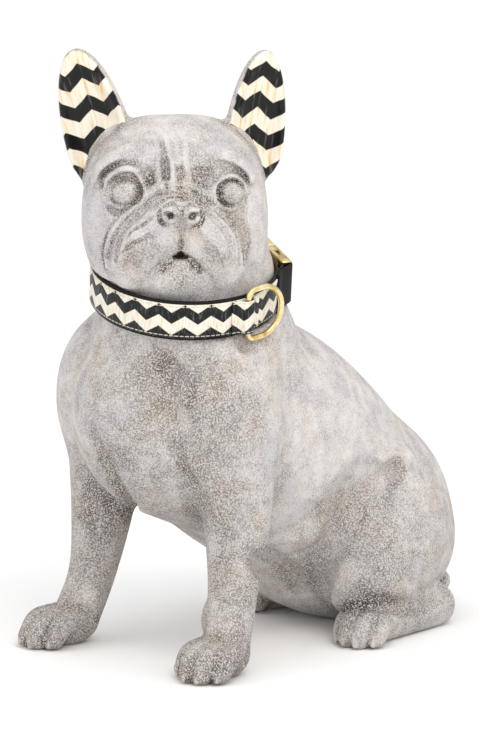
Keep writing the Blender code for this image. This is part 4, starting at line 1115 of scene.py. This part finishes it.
def gold_plate(name, roughness, grain):
    """Gold plate on brass: warm, with a tarnish in soft patches and marks of the polishing."""
    plate, shader = new_material(name)
    metres = add_node(plate, "TexCoord").outputs["Object"]
    patch = add_node(plate, "TexNoise", {"Vector": metres, "Scale": 1 / 0.009, "Detail": 3.0})
    colour = add_node(plate, "ValToRGB", {0: patch}, stops=(
        (0.34, "#f6e8bf"), (0.52, "#e8d193"), (0.7, "#c09a55")))
    rub = add_node(plate, "MapRange", {"Value": patch, "From Min": 0.3, "From Max": 0.7,
                                                 "To Min": roughness, "To Max": roughness + 0.14})
    marks = add_node(plate, "TexNoise", {"Vector": metres, "Scale": 1 / grain, "Detail": 2.0})
    marks = add_node(plate, "Bump", {"Strength": 0.25, "Distance": 0.0001, "Height": marks})
    set_inputs(shader, {"Base Color": colour, "Metallic": 1.0, "Roughness": rub, "Normal": marks})
    return plate


ring.data.materials.append(gold_plate("brass_wire_gold_plated", 0.14, 0.0008))
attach(ring, "root")
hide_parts("d_ring")


# The keeper of the D-ring
# A short piece of the same ribbon, sewn down on both sides of the ring's bar so that it holds it.
KEEPER_LENGTH = 26.0
keeper_place = np.linspace(-KEEPER_LENGTH / 2, KEEPER_LENGTH / 2, 53)
keeper_low = RIBBON_OUTER + STITCH_GAP + RIBBON_THICKNESS / 2
keeper_high = RING_OFFSET + RING_WIRE / 2 + RING_GAP + RIBBON_THICKNESS / 2
keeper_rise = np.exp(-(keeper_place / (1.35 * RING_WIRE)) ** 4)
keeper_bearings = RING_BEARING + np.degrees(keeper_place / (LOOP_RADIUS + keeper_low))
keeper = woven_strip("ring_keeper_strip",
                     loop_point(keeper_bearings, keeper_low + (keeper_high - keeper_low) * keeper_rise),
                     RIBBON_THICKNESS, RIBBON_WIDTH - 2 * STITCH_GAP)
keeper.data.materials.append(polyester)
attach(keeper, "root")
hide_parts("ring_keeper")


# The buckle
# A side-release buckle of cast zinc, plated gold: a hollow socket, and a prong whose tongue snaps
# into it. Each has a slot and a bar at its outer end for the strap.
BUCKLE_WALL = 1.6
BUCKLE_SIDE = 1.4
SLOT_LENGTH = 6.2
BUCKLE_WIDTH = WEBBING_WIDTH + 2 * (BUCKLE_GAP + BUCKLE_SIDE)


def block(name, start, end, width, bottom, top, rounding=0.0):
    """A block along the strap from start to end, and from bottom to top out of the collar, in mm."""
    bpy.ops.object.select_all(action="DESELECT")
    bpy.ops.mesh.primitive_cube_add(size=1.0)
    made = bpy.context.object
    made.name = name
    made.scale = (end - start, width, top - bottom)
    made.location = ((start + end) / 2, 0.0, (bottom + top) / 2)
    bpy.ops.object.transform_apply(location=True, rotation=False, scale=True)
    if rounding:
        apply_modifier(made, "BEVEL", width=rounding, segments=3)
    return made


def cut_away(obj, *sizes):
    cutter = block("cutter", *sizes)
    apply_modifier(obj, "BOOLEAN", operation="DIFFERENCE", solver="EXACT", object=cutter)
    bpy.data.objects.remove(cutter)


def cut_strap_end(obj, side):
    """Opens the slot for the strap at a piece's outer end, and thins the bar beyond it."""
    bar = HALF_BUCKLE - BAR_LENGTH
    low, high = BUCKLE_MIDDLE - BAR_LENGTH / 2, BUCKLE_MIDDLE + BAR_LENGTH / 2
    for near, far, bottom, top in ((bar - SLOT_LENGTH, bar, -2.0, 12.0),
                                   (bar - 2.0, HALF_BUCKLE + 2.0, -2.0, low),
                                   (bar - 2.0, HALF_BUCKLE + 2.0, high, 12.0)):
        cut_away(obj, *sorted((side * near, side * far)), WEBBING_WIDTH + 2 * BUCKLE_GAP, bottom, top)


buckle_low, buckle_high = NECK_GAP, NECK_GAP + BUCKLE_THICKNESS
buckle_joint = HALF_BUCKLE - PRONG_LENGTH - BUCKLE_GAP
socket_depth = SOCKET_LENGTH - BAR_LENGTH - SLOT_LENGTH - 2 * BUCKLE_WALL
socket_inner = BUCKLE_WIDTH - 2 * BUCKLE_WALL
buckle_floor, buckle_roof = buckle_low + BUCKLE_WALL, buckle_high - BUCKLE_WALL
socket_back = buckle_joint - socket_depth + BUCKLE_WALL
prong_start = buckle_joint + BUCKLE_GAP

socket = block("buckle_socket_casting", -HALF_BUCKLE, buckle_joint, BUCKLE_WIDTH, buckle_low, buckle_high,
               0.7 * BUCKLE_WALL)
cut_away(socket, buckle_joint - socket_depth, buckle_joint + BUCKLE_WALL, socket_inner, buckle_floor,
         buckle_roof)
cut_away(socket, socket_back, socket_back + 0.45 * socket_depth, BUCKLE_WIDTH + BUCKLE_WALL,
         buckle_floor + BUCKLE_WALL / 2, buckle_roof - BUCKLE_WALL / 2)
cut_strap_end(socket, -1)

prong = block("buckle_prong_casting", prong_start, HALF_BUCKLE, BUCKLE_WIDTH, buckle_low, buckle_high,
              0.7 * BUCKLE_WALL)
tongue = block("tongue", socket_back + BUCKLE_GAP, prong_start + BUCKLE_WALL,
               socket_inner - 2 * BUCKLE_GAP, buckle_floor + BUCKLE_GAP, buckle_roof - BUCKLE_GAP, 0.5)
apply_modifier(prong, "BOOLEAN", operation="UNION", solver="EXACT", object=tongue)
bpy.data.objects.remove(tongue)
cut_strap_end(prong, 1)

origin, onward, outward = (np.append(vector, 0.0) for vector in loop_frame(BUCKLE_BEARING))
buckle_matrix = Matrix.Identity(4)
for column, axis in enumerate((onward, np.array((0.0, 0.0, 1.0)), outward)):
    for row, value in enumerate(axis @ COLLAR_AXES / 1000):
        buckle_matrix[row][column] = value
for row, value in enumerate(collar_place(origin)):
    buckle_matrix[row][3] = value
zinc = gold_plate("zinc_casting_gold_plated", 0.2, 0.0006)
for piece, node in ((socket, "buckle_socket"), (prong, "buckle_prong")):
    apply_modifier(piece, "BEVEL", width=0.25, segments=2, limit_method="ANGLE",
                   angle_limit=math.radians(45))
    piece.data.transform(buckle_matrix)
    piece.data.update()
    make_active(piece)
    bpy.ops.object.shade_smooth_by_angle(angle=math.radians(35))
    piece.data.materials.append(zinc)
    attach(piece, "root")
    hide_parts(node)


# The studio
# A wide pale floor, a bright room that is brighter at the upper right, one soft lamp, and a long
# lens a little above the middle of the statue.
bpy.ops.object.select_all(action="DESELECT")
bpy.ops.mesh.primitive_circle_add(vertices=64, radius=30.0, fill_type="NGON")
floor = bpy.context.object
floor.name = "studio_floor"
floor_paper, shader = new_material("paper_floor_white")
set_inputs(shader, {"Base Color": "#fafafa", "Roughness": 0.9})
floor.data.materials.append(floor_paper)

room = bpy.data.worlds.new("bright_room")
bpy.context.scene.world = room
room.use_nodes = True
BRIGHT_SIDE = tuple(unit_vector((0.42, -0.44, 0.76)))
sky = add_node(room, "TexCoord").outputs["Generated"]
toward = add_node(room, "VectorMath", {0: sky, 1: BRIGHT_SIDE}, operation="DOT_PRODUCT").outputs["Value"]
level = add_node(room, "MapRange", {"Value": toward, "From Min": -1.0, "To Min": 0.3,
                                              "To Max": 1.32})
set_inputs(room.node_tree.nodes["Background"], {"Color": "#ffffff", "Strength": level})

key = bpy.data.lights.new("key_softbox", "AREA")
key.energy, key.size, key.color = 9.0, 0.8, linear("#fff9f0")[:3]
softbox = bpy.data.objects.new("key_softbox", key)
bpy.context.collection.objects.link(softbox)


def stand_off(obj, target, azimuth, elevation, reach):
    """Puts an object at a distance from a target, in metres, and points it at the target."""
    azimuth, elevation = math.radians(azimuth), math.radians(elevation)
    level = reach * math.cos(elevation)
    obj.location = np.array(target) + (level * math.sin(azimuth), -level * math.cos(azimuth),
                                       reach * math.sin(elevation))
    obj.rotation_euler = (math.pi / 2 - elevation, 0.0, azimuth)


stand_off(softbox, (0.0, 0.0, 0.2), azimuth=62.0, elevation=48.0, reach=1.9)
lens = bpy.data.cameras.new("long_lens")
lens.lens, lens.sensor_width = 195.2, 36.0
camera = bpy.data.objects.new("photograph_camera", lens)
bpy.context.collection.objects.link(camera)
stand_off(camera, (-0.00204, -0.02328, 0.206), SIDE_YAW, SIDE_PITCH, reach=3.0)
bpy.context.scene.camera = camera
bpy.context.scene.view_settings.view_transform = "Standard"
